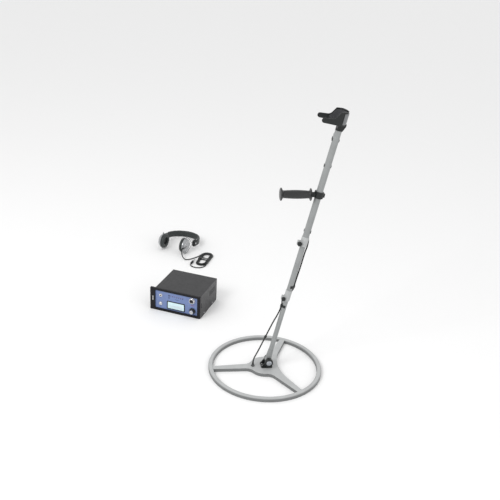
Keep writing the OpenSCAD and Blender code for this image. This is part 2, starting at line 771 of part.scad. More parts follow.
module tuning_skirt() color([0.09, 0.09, 0.12]) {
    panel_thing(tuner_x, tuner_z) translate([0, 0, 0.4]) difference() {
        union() {
            rotate(22.5) cylinder(r = 15, h = 5, $fn = 8);
            translate([0, 0, 5 - eps]) cylinder(r1 = 13, r2 = 11, h = 3);
        }
        translate([0, 0, -1]) cylinder(r = 4.4, h = 20);
    }
}

module tuning_cap() color([0.7, 0.7, 0.72]) {
    panel_thing(tuner_x, tuner_z) {
        translate([0, 0, 8.4]) difference() {
            cylinder(r = 9, h = 9);
            for (i = [0:17]) rotate(20 * i) translate([9.5, 0, -1]) cylinder(r = 1, h = 8, $fn = 24);
        }
        translate([0, 0, 17.4 - eps]) cylinder(r1 = 9, r2 = 8, h = 1);
        translate([0, 0, -14]) cylinder(r = 4.4, h = 22.4 + eps);
    }
}

module power_button() color("silver") {
    panel_thing(button_x, button_z) {
        translate([0, 0, -10]) cylinder(r = 5, h = 14);
        translate([0, 0, 4]) cylinder(r1 = 5, r2 = 4, h = 0.8);
        translate([0, 0, -12]) cylinder(r = 6.5, h = 2 + eps);
    }
}

// ---------- headphones ----------

module in_phones() {
    translate([phones_x, phones_y, phones_z]) rotate(phones_turn) rotate([-lie, 0, 0]) children();
}

band_end = (band_sweep - 180) / 2;

module along_band(sweep_a) {
    in_phones() translate([0, band_y, 0]) rotate(90 - sweep_a / 2) rotate_extrude(angle = sweep_a, $fn = 96)
        translate([band_r, 0]) children();
}

module headband() color("silver") {
    along_band(band_sweep) square([band_t, band_w], center = true);
}

module headband_pad() color([0.13, 0.15, 0.15]) {
    along_band(band_sweep - 8) difference() {
        round_rect(pad_thick, pad_wide, 4);
        square([band_t + 0.1, band_w + 0.1], center = true);
    }
}

slider_at = [band_r * cos(band_end), band_y - band_r * sin(band_end)] - 9 * [sin(band_end), cos(band_end)];

module slider_place(s) {
    translate([s * slider_at.x, slider_at.y, 0]) rotate(-s * band_end) children();
}

// The block at each end of the band, with a slot for the band and a bore for the yoke's rod.
module band_sliders() color([0.09, 0.09, 0.1]) {
    in_phones() for (s = [-1, 1]) slider_place(s) difference() {
        rotate([90, 0, 0]) translate([0, 0, -13]) linear_extrude(26) round_rect(14, 34, 4);
        translate([0, 13, 0]) cube([band_t + 0.7, 9, band_w + 0.6], center = true);
        rotate([90, 0, 0]) translate([0, 0, -8]) cylinder(r = 1.6, h = 40);
    }
}

// The wire yoke of one ear: a rod that slides in the block, two spread arms, and the pins the
// ear shell swivels on.
yoke_out = 72;
yoke_pin = cup_half + 6;
yoke_reach = cushion_d / 2 + 4.5;

module ear_yoke(s) {
    fork = slider_at - 21 * [sin(band_end), cos(band_end)];
    in_phones() {
        for (up = [-1, 1]) {
            sweep([[s * fork.x, fork.y + 2, 0], [s * fork.x, fork.y - 1, up * 2],
                [s * (yoke_out + 3), 20, up * 33],
                [s * yoke_out, 5, up * (yoke_reach - 1)], [s * (yoke_pin + 1), 0, up * yoke_reach],
                [s * yoke_pin, 0, up * yoke_reach]], 1.4, 8, [1, 0, 0.03]);
            translate([s * yoke_pin, 0, up * yoke_reach]) rotate([up > 0 ? 180 : 0, 0, 0])
                translate([0, 0, -1.4]) cylinder(r = 1.4, h = 9.4, $fn = 32);
        }
        slider_place(s) rotate([90, 0, 0]) translate([0, 0, -6]) cylinder(r = 1.5, h = 26.5, $fn = 32);
    }
}

module ear_yoke_left() color("silver") {
    ear_yoke(-1);
}

module ear_yoke_right() color("silver") {
    ear_yoke(1);
}

shell_side = [[0, 0], [36, 0], [37, 1.5], [36.5, 6], [33, 12], [26, 17], [16, 19.6], [0, shell_t]];

module ear_place(s) {
    in_phones() translate([s * cup_half, 0, 0]) rotate([0, s * 90, 0]) children();
}

module ear_shell(s) {
    ear_place(s) difference() {
        union() {
            rotate_extrude() polygon(shell_side);
            ear_pins(33, 6, 3.2);
        }
        translate([0, 0, -1]) cylinder(r = 30, h = 9);
        ear_pins(34.5, 8, 1.5);
    }
}

module ear_pins(from, length, r) {
    for (a = [0, 180])
        rotate(a) translate([from, 0, 6]) rotate([0, 90, 0]) cylinder(r = r, h = length, $fn = 32);
}

module ear_shell_left() color("silver") {
    ear_shell(-1);
}

module ear_shell_right() color("silver") {
    ear_shell(1);
}

module ear_cushion(s) {
    r = cushion_t / 2 - 1;
    ear_place(s) translate([0, 0, -cushion_t]) {
        rotate_extrude() {
            translate([cushion_d / 2 - r, r]) circle(r, $fn = 40);
            translate([cushion_d / 2 - r - 6, r]) circle(r, $fn = 40);
            translate([cushion_d / 2 - r - 6, 0]) square([6, 2 * r]);
            translate([20, cushion_t - 4]) square([16, 3.9]);
        }
        translate([0, 0, cushion_t - 5]) cylinder(r = 20.5, h = 4.9);
    }
}

module ear_cushion_left() color([0.12, 0.13, 0.13]) {
    ear_cushion(-1);
}

module ear_cushion_right() color([0.12, 0.13, 0.13]) {
    ear_cushion(1);
}

module headphone_cord() color([0.12, 0.13, 0.13]) {
    hank_place() {
        sweep(smooth(route_phone, 5), phone_cord_r, 8, [0.02, 0.02, 1]);
        sweep(smooth(route_loop, 5), phone_cord_r, 8, [0.02, 0.02, 1]);
    }
}

// The frame of the cord's hank, which lies on the floor beside the headphones.
module hank_place() {
    translate([phones_x, phones_y, 0]) rotate(phones_turn)
        translate([hank_x, hank_y, 0]) rotate(hank_turn) children();
}

module hank_outline(r) {
    for (s = [-1, 1]) translate([s * hank_run / 2, 0]) circle(r);
    square([hank_run, 2 * r], center = true);
}

module headphone_hank() color([0.12, 0.13, 0.13]) {
    hank_place() linear_extrude(hank_h) difference() {
        hank_outline(hank_out);
        hank_outline(hank_in);
    }
}

module headphone_plug() color("silver") {
    hank_place() translate(plug_at) rotate([0, 90, 0]) {
        cylinder(r = 5.5, h = 26);
        translate([0, 0, 26]) cylinder(r = 3.15, h = 26);
        translate([0, 0, 52]) cylinder(r1 = 3.15, r2 = 1.2, h = 4);
    }
}

coil_top_shell();
coil_bottom_cover();
coil_winding();
cable_gland();
pivot_bracket();
bracket_screws();
pivot_bolt();
pivot_knob();
pivot_knob_cap();
pole_yoke();
lower_tube();
lower_cable_clip();
coil_cable_low();
middle_tube();
lower_collar();
middle_cable_clip();
coil_cable_round();
lower_collar_knob();
upper_tube();
upper_collar();
upper_cable_clips();
coil_cable_middle();
coil_cable_upper();
pole_connector();
arm_cup();
arm_cup_back();
arm_cup_pad();
arm_cup_screws();
upper_collar_knob();
handle_liner();
handle_clamp();
handle_rod();
handle_grip();
case_tray();
case_cover();
case_frame();
front_panel();
display_module();
display_window();
circuit_board();
battery_pack();
coil_socket();
headphone_jack();
case_screws();
signal_lights();
tuning_skirt();
tuning_cap();
power_button();
headband();
headband_pad();
band_sliders();
ear_yoke_left();
ear_shell_left();
ear_cushion_left();
ear_yoke_right();
ear_shell_right();
ear_cushion_right();
headphone_cord();
headphone_hank();
headphone_plug();
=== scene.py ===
# %% [markdown]
# # A deep-search metal detector
# A ring coil lies on the floor, a telescopic pole leans up from its hub, and a side grip and an arm cup
# sit at the top. A control box and a pair of headphones stand behind it.
# The design was drawn first as solids, so every size and every joint is known. This lesson loads that
# model as a frame, keeps its exact parts, gives each one a real finish, and builds what the solids only
# stand for: cords, cushions, a padded band, a rubber grip and the printed front panel.

# %% Load the frame
import bpy
import bmesh
import json
import math
from mathutils import Matrix, Vector
from mathutils.bvhtree import BVHTree


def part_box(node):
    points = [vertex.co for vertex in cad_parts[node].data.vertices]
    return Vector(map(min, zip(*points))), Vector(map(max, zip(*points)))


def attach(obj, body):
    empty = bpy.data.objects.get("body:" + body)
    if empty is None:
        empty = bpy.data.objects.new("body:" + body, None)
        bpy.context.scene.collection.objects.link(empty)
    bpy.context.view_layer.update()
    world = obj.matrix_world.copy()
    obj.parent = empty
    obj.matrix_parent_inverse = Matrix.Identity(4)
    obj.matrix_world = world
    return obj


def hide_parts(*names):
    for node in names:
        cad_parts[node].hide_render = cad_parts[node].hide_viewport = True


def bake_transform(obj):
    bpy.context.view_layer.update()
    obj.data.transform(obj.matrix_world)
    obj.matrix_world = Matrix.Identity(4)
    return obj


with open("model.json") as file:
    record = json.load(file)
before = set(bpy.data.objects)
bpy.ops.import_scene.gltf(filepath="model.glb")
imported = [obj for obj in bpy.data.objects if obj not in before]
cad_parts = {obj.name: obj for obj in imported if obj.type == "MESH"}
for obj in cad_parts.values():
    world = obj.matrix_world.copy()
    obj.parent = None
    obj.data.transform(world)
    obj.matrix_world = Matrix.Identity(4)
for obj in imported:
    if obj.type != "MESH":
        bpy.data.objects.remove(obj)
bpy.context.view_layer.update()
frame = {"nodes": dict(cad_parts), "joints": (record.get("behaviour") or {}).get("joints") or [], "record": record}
scene = bpy.context.scene

# %% [markdown]
# ## Where things are
# A maker marks a part out from its own axes, not from the corner of the bench. The pole has an axis, the
# front panel has a face, and each ear cup has a swivel. The joints of the design hold those axes, so they
# are read from there, and each group gets its own small frame: a matrix that turns "12 mm out from the
# pole, 280 mm up it" into a point in the room. Sizes are typed in millimetres and turned into metres once.

# %% Millimetres and joint axes
mm = 0.001


def in_mm(*pairs):
    """Pairs typed in millimetres, as metres."""
    return [(a * mm, b * mm) for a, b in pairs]


joints = {joint["name"]: joint for joint in frame["joints"]}


def joint_axis(name):
    return Vector(joints[name]["axis"]).normalized()


def joint_place(name):
    return Vector(joints[name]["pos_m"])


def axes(at, x, y, z):
    """A frame at a point, from its three directions."""
    turned = Matrix((x, y, z)).transposed().to_4x4()
    turned.translation = at
    return turned


def middle(node):
    low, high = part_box(node)
    return (low + high) / 2


# %% The pole, the handle and the arm cup
along_y = Vector((0, 1, 0))
upward = Vector((0, 0, 1))
pole_up = joint_axis("lower_stage")
pole = axes(joint_place("pole_tilt"), along_y.cross(pole_up), along_y, pole_up)
handle_out = joint_axis("grip_turn")
handle = axes(joint_place("grip_turn"), handle_out.cross(along_y), -along_y, handle_out)
arm_cup_up = 1008 * mm
arm_cup = pole @ Matrix.Translation((0, 0, arm_cup_up))
print("pole leans", round(math.degrees(pole_up.angle(upward)), 1), "degrees")

# %% The control box's front panel
into_box = joint_axis("power_press")
box_right = into_box.cross(upward)
panel_mark = middle("front_panel") - into_box * 1 * mm
panel = axes(Vector((panel_mark.x, panel_mark.y, 0)), box_right, upward, -into_box)

# %% The headphones and the bundle of their cord
swivels = {-1: joint_place("ear_swivel_left"), 1: joint_place("ear_swivel_right")}
ear_across = (swivels[1] - swivels[-1]).normalized()
ear_up = joint_axis("ear_swivel_left")
phones = axes((swivels[1] + swivels[-1]) / 2, ear_across, ear_up.cross(ear_across), ear_up)
cup_half = 62 * mm
bundle_mark = middle("headphone_hank")
bundle_turn = math.atan2(ear_across.y, ear_across.x) + math.radians(97)
bundle = Matrix.Translation((bundle_mark.x, bundle_mark.y, 0)) @ Matrix.Rotation(bundle_turn, 4, "Z")
print("ear cups are", round((swivels[1] - swivels[-1]).length / mm), "mm apart at their swivels")


def ear_frame(side):
    """The frame of one ear cup, its z axis pointing out of the shell."""
    out = ear_across * side
    return axes(phones.translation + out * cup_half, phones.col[1].xyz.cross(out), phones.col[1].xyz, out)


# %% [markdown]
# ## Camera, floor and light
# The camera stands a little above the coil's far rim, turned slightly to the left and rolled a few degrees,
# with a lens of about 56 mm. A floor, a bright sky and two large soft lamps are all that a studio shot of a
# product needs: one lamp high on the left makes the long highlights on the tubes, and a weaker one on the
# right opens the shadows.

# %% Camera
turn = math.radians(-9.834)
rise = math.radians(25.631)
roll = math.radians(2.982)
camera_back = Vector((math.sin(turn) * math.cos(rise), -math.cos(turn) * math.cos(rise), math.sin(rise)))
level_right = Vector((math.cos(turn), math.sin(turn), 0))
level_up = camera_back.cross(level_right)
camera_right = level_right * math.cos(roll) + level_up * math.sin(roll)
camera = bpy.data.objects.new("Camera", bpy.data.cameras.new("Camera"))
camera.data.sensor_width = 36
camera.data.lens = 56.36
camera.data.clip_end = 60
camera.matrix_world = axes(Vector((-0.5411, -2.6242, 1.8159)), camera_right, camera_back.cross(camera_right),
                           camera_back)
scene.collection.objects.link(camera)
scene.camera = camera

# %% Floor, sky and lamps
floor_mesh = bpy.data.meshes.new("Floor")
floor_mesh.from_pydata([(x * 20, y * 20, -0.0004) for x, y in ((-1, -1), (1, -1), (1, 1), (-1, 1))], [],
                       [(0, 1, 2, 3)])
floor = bpy.data.objects.new("Floor", floor_mesh)
scene.collection.objects.link(floor)
paper = bpy.data.materials.new("pale floor")
paper.use_nodes = True
paper.node_tree.nodes["Principled BSDF"].inputs["Base Color"].default_value = (0.9, 0.9, 0.9, 1)
paper.node_tree.nodes["Principled BSDF"].inputs["Roughness"].default_value = 0.9
paper.node_tree.nodes["Principled BSDF"].inputs["Specular IOR Level"].default_value = 0.1
floor_mesh.materials.append(paper)

sky = bpy.data.worlds.new("Sky")
sky.use_nodes = True
sky.node_tree.nodes["Background"].inputs["Color"].default_value = (1, 1, 1, 1)
sky.node_tree.nodes["Background"].inputs["Strength"].default_value = 0.92
scene.world = sky
scene.view_settings.view_transform = "Standard"


def soft_lamp(name, at, aim, size, watts):
    lamp = bpy.data.objects.new(name, bpy.data.lights.new(name, "AREA"))
    lamp.data.size = size
    lamp.data.energy = watts
    lamp.location = at
    lamp.rotation_mode = "QUATERNION"
    lamp.rotation_quaternion = (Vector(aim) - Vector(at)).to_track_quat("-Z", "Y")
    scene.collection.objects.link(lamp)


soft_lamp("key_lamp", (-2.6, -1.6, 3.0), (0, 0.3, 0.3), 1.6, 60)
soft_lamp("fill_lamp", (2.4, -2.6, 1.6), (0, 0.3, 0.3), 2.4, 14)
print("camera, floor, sky and two lamps are set")

# %% [markdown]
# ## Finishes
# A finish is more than a colour. Moulded plastic has a fine grain and uneven gloss, paint on a tube wears
# thin on its edges, and rubber holds dust. One function makes the common ground for all of them:
#
# - a coarse noise shifts the colour and the roughness a little from place to place,
# - a fine noise raises the grain, as bump,
# - a bevel node rounds every sharp edge by half a millimetre, so that edges catch light as real ones do,
# - where the rounded and the true surface differ, the edge is worn to a second colour,
# - the coil's moulding gets painted shade: it is a darker grey on its sides and underside than on top.
#
# Numbers that are the same all over a surface are typed on the shader itself.

# %% A helper for wiring shader nodes
class Wiring:
    """Adds nodes to one material and joins them."""

    def __init__(self, name):
        self.material = bpy.data.materials.new(name)
        self.material.use_nodes = True
        self.tree = self.material.node_tree
        self.shader = self.tree.nodes["Principled BSDF"]
        place = self.add("ShaderNodeTexCoord")
        self.where = place.outputs["Object"]
        self.facing = place.outputs["Normal"]

    def add(self, kind, **sockets):
        node = self.tree.nodes.new(kind)
        for name, value in sockets.items():
            self.feed(node.inputs[name.replace("_", " ")], value)
        return node

    def feed(self, socket, value):
        if isinstance(value, bpy.types.NodeSocket):
            self.tree.links.new(value, socket)
        else:
            socket.default_value = value

    def noise(self, size, detail=2, stretch=None):
        """Noise with lumps of about this size, in metres."""
        where = self.where
        if stretch:
            where = self.add("ShaderNodeMapping", Vector=where, Scale=stretch).outputs["Vector"]
        return self.add("ShaderNodeTexNoise", Vector=where, Scale=1 / size, Detail=detail).outputs["Fac"]

    def between(self, value, low, high, start=0.3, end=0.7):
        """The value from start to end, spread from low to high."""
        node = self.add("ShaderNodeMapRange", Value=value, To_Min=low, To_Max=high, From_Min=start,
                        From_Max=end)
        return node.outputs["Result"]

    def maths(self, kind, a, b):
        node = self.tree.nodes.new("ShaderNodeMath")
        node.operation = kind
        self.feed(node.inputs[0], a)
        self.feed(node.inputs[1], b)
        return node.outputs["Value"]

    def blend(self, share, a, b):
        node = self.tree.nodes.new("ShaderNodeMix")
        node.data_type = "RGBA"
        self.feed(node.inputs["Factor"], share)
        self.feed(node.inputs["A"], a)
        self.feed(node.inputs["B"], b)
        return node.outputs["Result"]


def tint(colour, share):
    return (*(min(1, c * share) for c in colour), 1)


# %% The finish maker
def finish(name, colour, rough, metal=0.0, grain=0.0006, depth=0.00002, uneven=0.08, blotch=0.03, worn=None,
           round_by=0.0005, height=None, stretch=None, sides=None, **shader_values):
    """A finish with uneven colour and gloss, a raised grain, rounded edges, and, where asked, worn edges and
    painted shade that makes the sides and underside darker."""
    w = Wiring(name)
    patches = w.noise(blotch, 3, stretch)
    base = w.blend(w.between(patches, 0, 1), tint(colour, 1 - uneven), tint(colour, 1 + uneven))
    # painted shade: faces that point sideways or down take the darker sides colour
    if sides:
        facing = w.add("ShaderNodeSeparateXYZ", Vector=w.facing).outputs["Z"]
        base = w.blend(w.between(facing, 0, 1, 0.1, 0.95), (*sides, 1), base)
    rounded = w.add("ShaderNodeBevel", Radius=round_by)
    rounded.samples = 4
    if worn:
        edge = w.add("ShaderNodeBevel", Radius=round_by * 1.6)
        edge.samples = 4
        same = w.tree.nodes.new("ShaderNodeVectorMath")
        same.operation = "DOT_PRODUCT"
        w.feed(same.inputs[0], edge.outputs["Normal"])
        w.feed(same.inputs[1], w.add("ShaderNodeNewGeometry").outputs["Normal"])
        rubbed = w.maths("MULTIPLY", w.between(same.outputs["Value"], 1, 0, 0.8, 0.97),
                         w.between(w.noise(0.012, 4), 0, 0.8, 0.45, 0.62))
        base = w.blend(rubbed, base, (*worn, 1))
    w.feed(w.shader.inputs["Base Color"], base)
    w.feed(w.shader.inputs["Roughness"], w.between(w.noise(blotch * 0.4, 4, stretch), rough - 0.06,
                                                   rough + 0.08))
    w.shader.inputs["Metallic"].default_value = metal
    for socket, value in shader_values.items():
        w.shader.inputs[socket.replace("_", " ")].default_value = value
    raised = height(w) if height else w.noise(grain, 2, stretch)
    bump = w.add("ShaderNodeBump", Height=raised, Distance=depth, Normal=rounded.outputs["Normal"])
    w.feed(w.shader.inputs["Normal"], bump.outputs["Normal"])
    return w.material


# %% [markdown]
# Three surfaces need more than noise. Soft vinyl has a skin of small pebbles with creases between them,
# which is what a cell texture gives. A knitted cover has rows of loops: two sets of waves, crossed. Fine
# speaker cloth is the same at a smaller step.

# %% Pebbled vinyl and knitted cloth
def pebbles(size):
    def height(w):
        cells = w.add("ShaderNodeTexVoronoi", Vector=w.where, Scale=1 / size)
        cells.feature = "F1"
        return w.maths("SUBTRACT", 1, w.maths("POWER", cells.outputs["Distance"], 2))
    return height


def knit(step):
    def height(w):
        rows = []
        for direction in ("X", "Y", "Z"):
            wave = w.add("ShaderNodeTexWave", Vector=w.where, Scale=0.5 / step, Distortion=0.4, Detail=0)
            wave.bands_direction = direction
            rows.append(wave.outputs["Fac"])
        return w.maths("MULTIPLY", w.maths("ADD", rows[0], rows[1]), w.maths("ADD", rows[2], 0.4))
    return height


grey_wear = (0.3, 0.31, 0.31)
finishes = {
    # sides gives the coil painted shade, darker on its sides and underside than on top
    "coil_plastic": finish("light grey moulding with painted side shade", (0.43, 0.44, 0.44), 0.45, depth=0.00003, uneven=0.05,
                           worn=(0.52, 0.53, 0.53),
                           round_by=0.0012, sides=(0.16, 0.165, 0.165)),
    "cover_plastic": finish("grey cover moulding", (0.16, 0.165, 0.165), 0.5, depth=0.00003,
                            worn=(0.3, 0.3, 0.3)),
    "copper": finish("enamelled copper", (0.55, 0.2, 0.08), 0.3, 0.9, grain=0.0004),
    "black_plastic": finish("black moulding", (0.012, 0.014, 0.014), 0.42, worn=(0.08, 0.085, 0.085),
                            depth=0.00004,
                            Specular_IOR_Level=0.35),
    "gland_plastic": finish("dark grey moulding", (0.07, 0.074, 0.074), 0.45, worn=(0.2, 0.2, 0.2)),
    "steel": finish("plated steel", (0.6, 0.61, 0.62), 0.26, 1.0, grain=0.0003, depth=0.000008,
                    worn=(0.75, 0.75, 0.76)),
    "knob_cap": finish("silvered cap", (0.40, 0.42, 0.45), 0.26, 0.95, grain=0.0004, depth=0.00002,
                       worn=(0.6, 0.6, 0.62)),
    "tube": finish("satin grey tube paint", (0.27, 0.28, 0.28), 0.38, 0.15, grain=0.0005, depth=0.000015,
                   worn=(0.55, 0.55, 0.55),
                   blotch=0.05),
    "collar_grey": finish("light grey collar moulding", (0.40, 0.41, 0.41), 0.45, worn=(0.62, 0.62, 0.62),
                          depth=0.00004),
    "cable": finish("dark cable jacket", (0.016, 0.018, 0.018), 0.5, grain=0.0008, depth=0.00003,
                    blotch=0.02, Specular_IOR_Level=0.35),
    "rubber": finish("black rubber", (0.014, 0.016, 0.016), 0.5, height=pebbles(0.0011), depth=0.00006,
                     blotch=0.02, Coat_Weight=0.15, Coat_Roughness=0.4),
    "cup_grey": finish("grey backing plate", (0.17, 0.175, 0.18), 0.42, worn=grey_wear, depth=0.00004),
    "foam": finish("knitted pad cover", (0.035, 0.036, 0.04), 0.8, height=knit(0.0012), depth=0.0002,
                   Sheen_Weight=0.35,
                   Sheen_Roughness=0.5),
    "case_black": finish("satin black enamel", (0.02, 0.02, 0.022), 0.36, grain=0.0009, depth=0.00003,
                         worn=(0.14, 0.14, 0.15),
                         round_by=0.0008, Specular_IOR_Level=0.4),
    "frame_black": finish("black frame enamel", (0.005, 0.005, 0.007), 0.3, grain=0.0009, depth=0.00002,
                          worn=(0.06, 0.06, 0.065),
                          round_by=0.0008, Specular_IOR_Level=0.25),
    "panel_blue": finish("lavender blue panel paint", (0.15, 0.21, 0.41), 0.38, grain=0.0004, depth=0.00001,
                         blotch=0.06),
    "glass": finish("clear window", (0.8, 0.92, 0.95), 0.12, grain=0.002, depth=0.000004, Coat_Weight=0.6,
                    Coat_Roughness=0.05),
    "display": finish("lit display", (0.60, 0.78, 0.82), 0.3, grain=0.0012, depth=0.000004, blotch=0.02,
                      uneven=0.05,
                      Coat_Weight=0.8, Coat_Roughness=0.06),
    "board": finish("green circuit board", (0.01, 0.1, 0.03), 0.35, grain=0.0015, depth=0.00006),
    "battery": finish("blue battery sleeve", (0.02, 0.04, 0.17), 0.25, grain=0.003, depth=0.00005),
    "chrome": finish("polished chrome", (0.68, 0.68, 0.69), 0.13, 1.0, grain=0.0008, depth=0.000006),
    "red_lens": finish("dark red lens", (0.16, 0.01, 0.012), 0.15, grain=0.0008, depth=0.00001,
                       Coat_Weight=0.5),
    "silver_cap": finish("turned aluminium", (0.62, 0.63, 0.66), 0.24, 1.0, grain=0.0003, depth=0.00001,
                         worn=(0.8, 0.8, 0.8)),
    "shell_silver": finish("silver lacquer", (0.36, 0.37, 0.38), 0.28, 0.75, grain=0.0005, depth=0.00001,
                           worn=(0.3, 0.3, 0.3),
                           Coat_Weight=0.4, Coat_Roughness=0.15),
    "vinyl": finish("soft black vinyl", (0.02, 0.026, 0.026), 0.5, height=pebbles(0.0016), depth=0.00008,
                    Sheen_Weight=0.1,
                    Sheen_Roughness=0.5),
}
thread_finish = finish("dark sewing thread", (0.06, 0.064, 0.064), 0.75, grain=0.0003, depth=0.00004)
cloth_finish = finish("speaker cloth", (0.018, 0.02, 0.02), 0.9, height=knit(0.0006), depth=0.0001)
# dark print on the panel and the pointer; on the screw heads the same finish is painted shade for the cross
# recesses
print_and_recess_shade_finish = finish("dark print and painted recess shade", (0.004, 0.005, 0.014), 0.5, depth=0.000005, Specular_IOR_Level=0.2)
red_mark_finish = finish("red print", (0.35, 0.02, 0.03), 0.5, depth=0.000005)
pale_mark_finish = finish("pale print", (0.6, 0.62, 0.66), 0.5, depth=0.000005)
print(len(finishes) + 5, "finishes made")

# %% Give every solid part its finish
slot_of = {part["node"]: part["material_slot"] for part in frame["record"]["subparts"]}
for node, part in frame["nodes"].items():
    for holder in part.material_slots:
        holder.material = finishes[slot_of[node]]

# %% [markdown]
# ## Tools for making pieces
# Three ways of making a surface cover this whole kit. A **lathe** turns an outline round an axis, for
# knobs, cushions and sleeves. A **tube** carries a circle along a line, for cords and wires. A **plate** is
# a flat outline with a thickness and an eased edge, for bezels and printed marks. Each gives a closed mesh
# with clean quads, made straight from its numbers.

# %% Turning points and faces into a piece
def piece(name, points, faces, body, slot, material=None, sharp=40):
    """A smooth-shaded mesh piece with its finish, on a body. Edges steeper than sharp degrees stay crisp."""
    mesh = bpy.data.meshes.new(name)
    mesh.from_pydata([tuple(p) for p in points], [], faces)
    mesh.validate()
    faces_out = bmesh.new()
    faces_out.from_mesh(mesh)
    bmesh.ops.recalc_face_normals(faces_out, faces=faces_out.faces)
    faces_out.to_mesh(mesh)
    faces_out.free()
    mesh.polygons.foreach_set("use_smooth", [True] * len(mesh.polygons))
    mesh.set_sharp_from_angle(angle=math.radians(sharp))
    made = bpy.data.objects.new(name, mesh)
    scene.collection.objects.link(made)
    mesh.materials.append(material or finishes[slot])
    if body:
        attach(made, body)
    return made


def joined(parts):
    """Several (points, faces) as one."""
    points, faces = [], []
    for some_points, some_faces in parts:
        first = len(points)
        points += list(some_points)
        faces += [tuple(first + i for i in face) for face in some_faces]
    return points, faces


# %% The tube
def curve_through(marks, steps):
    """Smooth points through the marks."""
    marks = [Vector(p) for p in marks]
    last = len(marks) - 1
    points = []
    for i in range(last):
        a, b, c, d = marks[max(i - 1, 0)], marks[i], marks[i + 1], marks[min(i + 2, last)]
        for k in range(steps):
            t = k / steps
            points.append(0.5 * (2 * b + (c - a) * t + (2 * a - 5 * b + 4 * c - d) * t**2
                                 + (3 * b - a - 3 * c + d) * t**3))
    return points + [marks[last]]


def line_length(points):
    return sum((b - a).length for a, b in zip(points, points[1:]))


def between_rings(rings, sides, total=None, first=0):
    """Four-sided faces from each of these rings of points to the next. With a total, the last ring meets
    the first."""
    faces = []
    for i in rings:
        a = first + i * sides
        b = first + ((i + 1) % total if total else i + 1) * sides
        faces += [(a + k, a + (k + 1) % sides, b + (k + 1) % sides, b + k) for k in range(sides)]
    return faces


def tube(points, radius, sides=14):
    """A closed tube along the points. radius is a number, or a function of the share of the way along."""
    count = len(points)
    rim = (points[1] - points[0]).normalized().orthogonal().normalized()
    rings = []
    for i, point in enumerate(points):
        heading = (points[min(i + 1, count - 1)] - points[max(i - 1, 0)]).normalized()
        rim = (rim - heading * rim.dot(heading)).normalized()
        other = heading.cross(rim)
        r = radius(i / (count - 1)) if callable(radius) else radius
        rings += [point + r * (rim * math.cos(a) + other * math.sin(a))
                  for a in (math.tau * k / sides for k in range(sides))]
    faces = between_rings(range(count - 1), sides)
    faces += [tuple(reversed(range(sides))), tuple(range((count - 1) * sides, count * sides))]
    return rings, faces


# %% The lathe
def lathe(place, outline, turns=64, shape=None):
    """Turns (radius, height) pairs, in metres, round a frame's z axis. An outline that starts and ends on the
    axis gives a solid, any other is closed on itself. shape may change a radius from its angle and height."""
    solid = outline[0][0] == 0 and outline[-1][0] == 0
    body = outline[1:-1] if solid else outline
    count = len(body)
    points = []
    for r, z in body:
        for k in range(turns):
            a = math.tau * k / turns
            radius = shape(r, z, a) if shape else r
            points.append(place @ Vector((radius * math.cos(a), radius * math.sin(a), z)))
    rows = range(count - 1) if solid else range(count)
    faces = between_rings(rows, turns, count)
    if solid:
        points += [place @ Vector((0, 0, outline[0][1])), place @ Vector((0, 0, outline[-1][1]))]
        base, tip = len(points) - 2, len(points) - 1
        faces += [(base, (k + 1) % turns, k) for k in range(turns)]
        faces += [(tip, (count - 1) * turns + k, (count - 1) * turns + (k + 1) % turns) for k in range(turns)]
    return points, faces


# %% The plate
def rounded_outline(width, height, corner, steps=6):
    """Points round a rectangle with rounded corners, counter-clockwise."""
    points = []
    for quarter, (sx, sy) in enumerate(((1, 1), (-1, 1), (-1, -1), (1, -1))):
        for k in range(steps + 1):
            a = math.pi / 2 * (quarter + k / steps)
            points.append((sx * (width / 2 - corner) + corner * math.cos(a),
                           sy * (height / 2 - corner) + corner * math.sin(a)))
    return points


def plate(place, outline, thick, ease=0.0):
    """A flat outline raised from z = 0 to thick, its top edge eased."""
    count = len(outline)
    cx = sum(p[0] for p in outline) / count
    cy = sum(p[1] for p in outline) / count
    size = max(max(abs(x - cx), abs(y - cy)) for x, y in outline)
    shrink = 1 - ease / size
    levels = [(1, 0), (1, thick - ease), (shrink, thick)] if ease else [(1, 0), (1, thick)]
    points = [place @ Vector((cx + (x - cx) * s, cy + (y - cy) * s, z)) for s, z in levels
              for x, y in outline]
    faces = between_rings(range(len(levels) - 1), count)
    faces += [tuple(reversed(range(count))), tuple(range((len(levels) - 1) * count, len(levels) * count))]
    return points, faces


def bar(place, x, y, width, height, thick=0.0002):
    """A small straight plate centred at x, y."""
    outline = [(x + sx * width / 2, y + sy * height / 2) for sx, sy in ((-1, -1), (1, -1), (1, 1), (-1, 1))]
    return plate(place, outline, thick)


# %% [markdown]
# ## Soft things
# A cushion is pressed out by what fills it. The way to get that shape is to let a cloth solver do it: the
# piece is remeshed into even faces, blown up a little from inside for twenty frames, and held so that no
# point moves further than a cap. The result is written into the mesh, so that nothing is left to simulate.

# %% Swell a piece with the cloth solver
def baked(made):
    """Writes a piece's modifiers into its mesh."""
    shown = made.evaluated_get(bpy.context.evaluated_depsgraph_get())
    mesh = bpy.data.meshes.new_from_object(shown)
    made.modifiers.clear()
    made.data = mesh
    mesh.polygons.foreach_set("use_smooth", [True] * len(mesh.polygons))
    return made


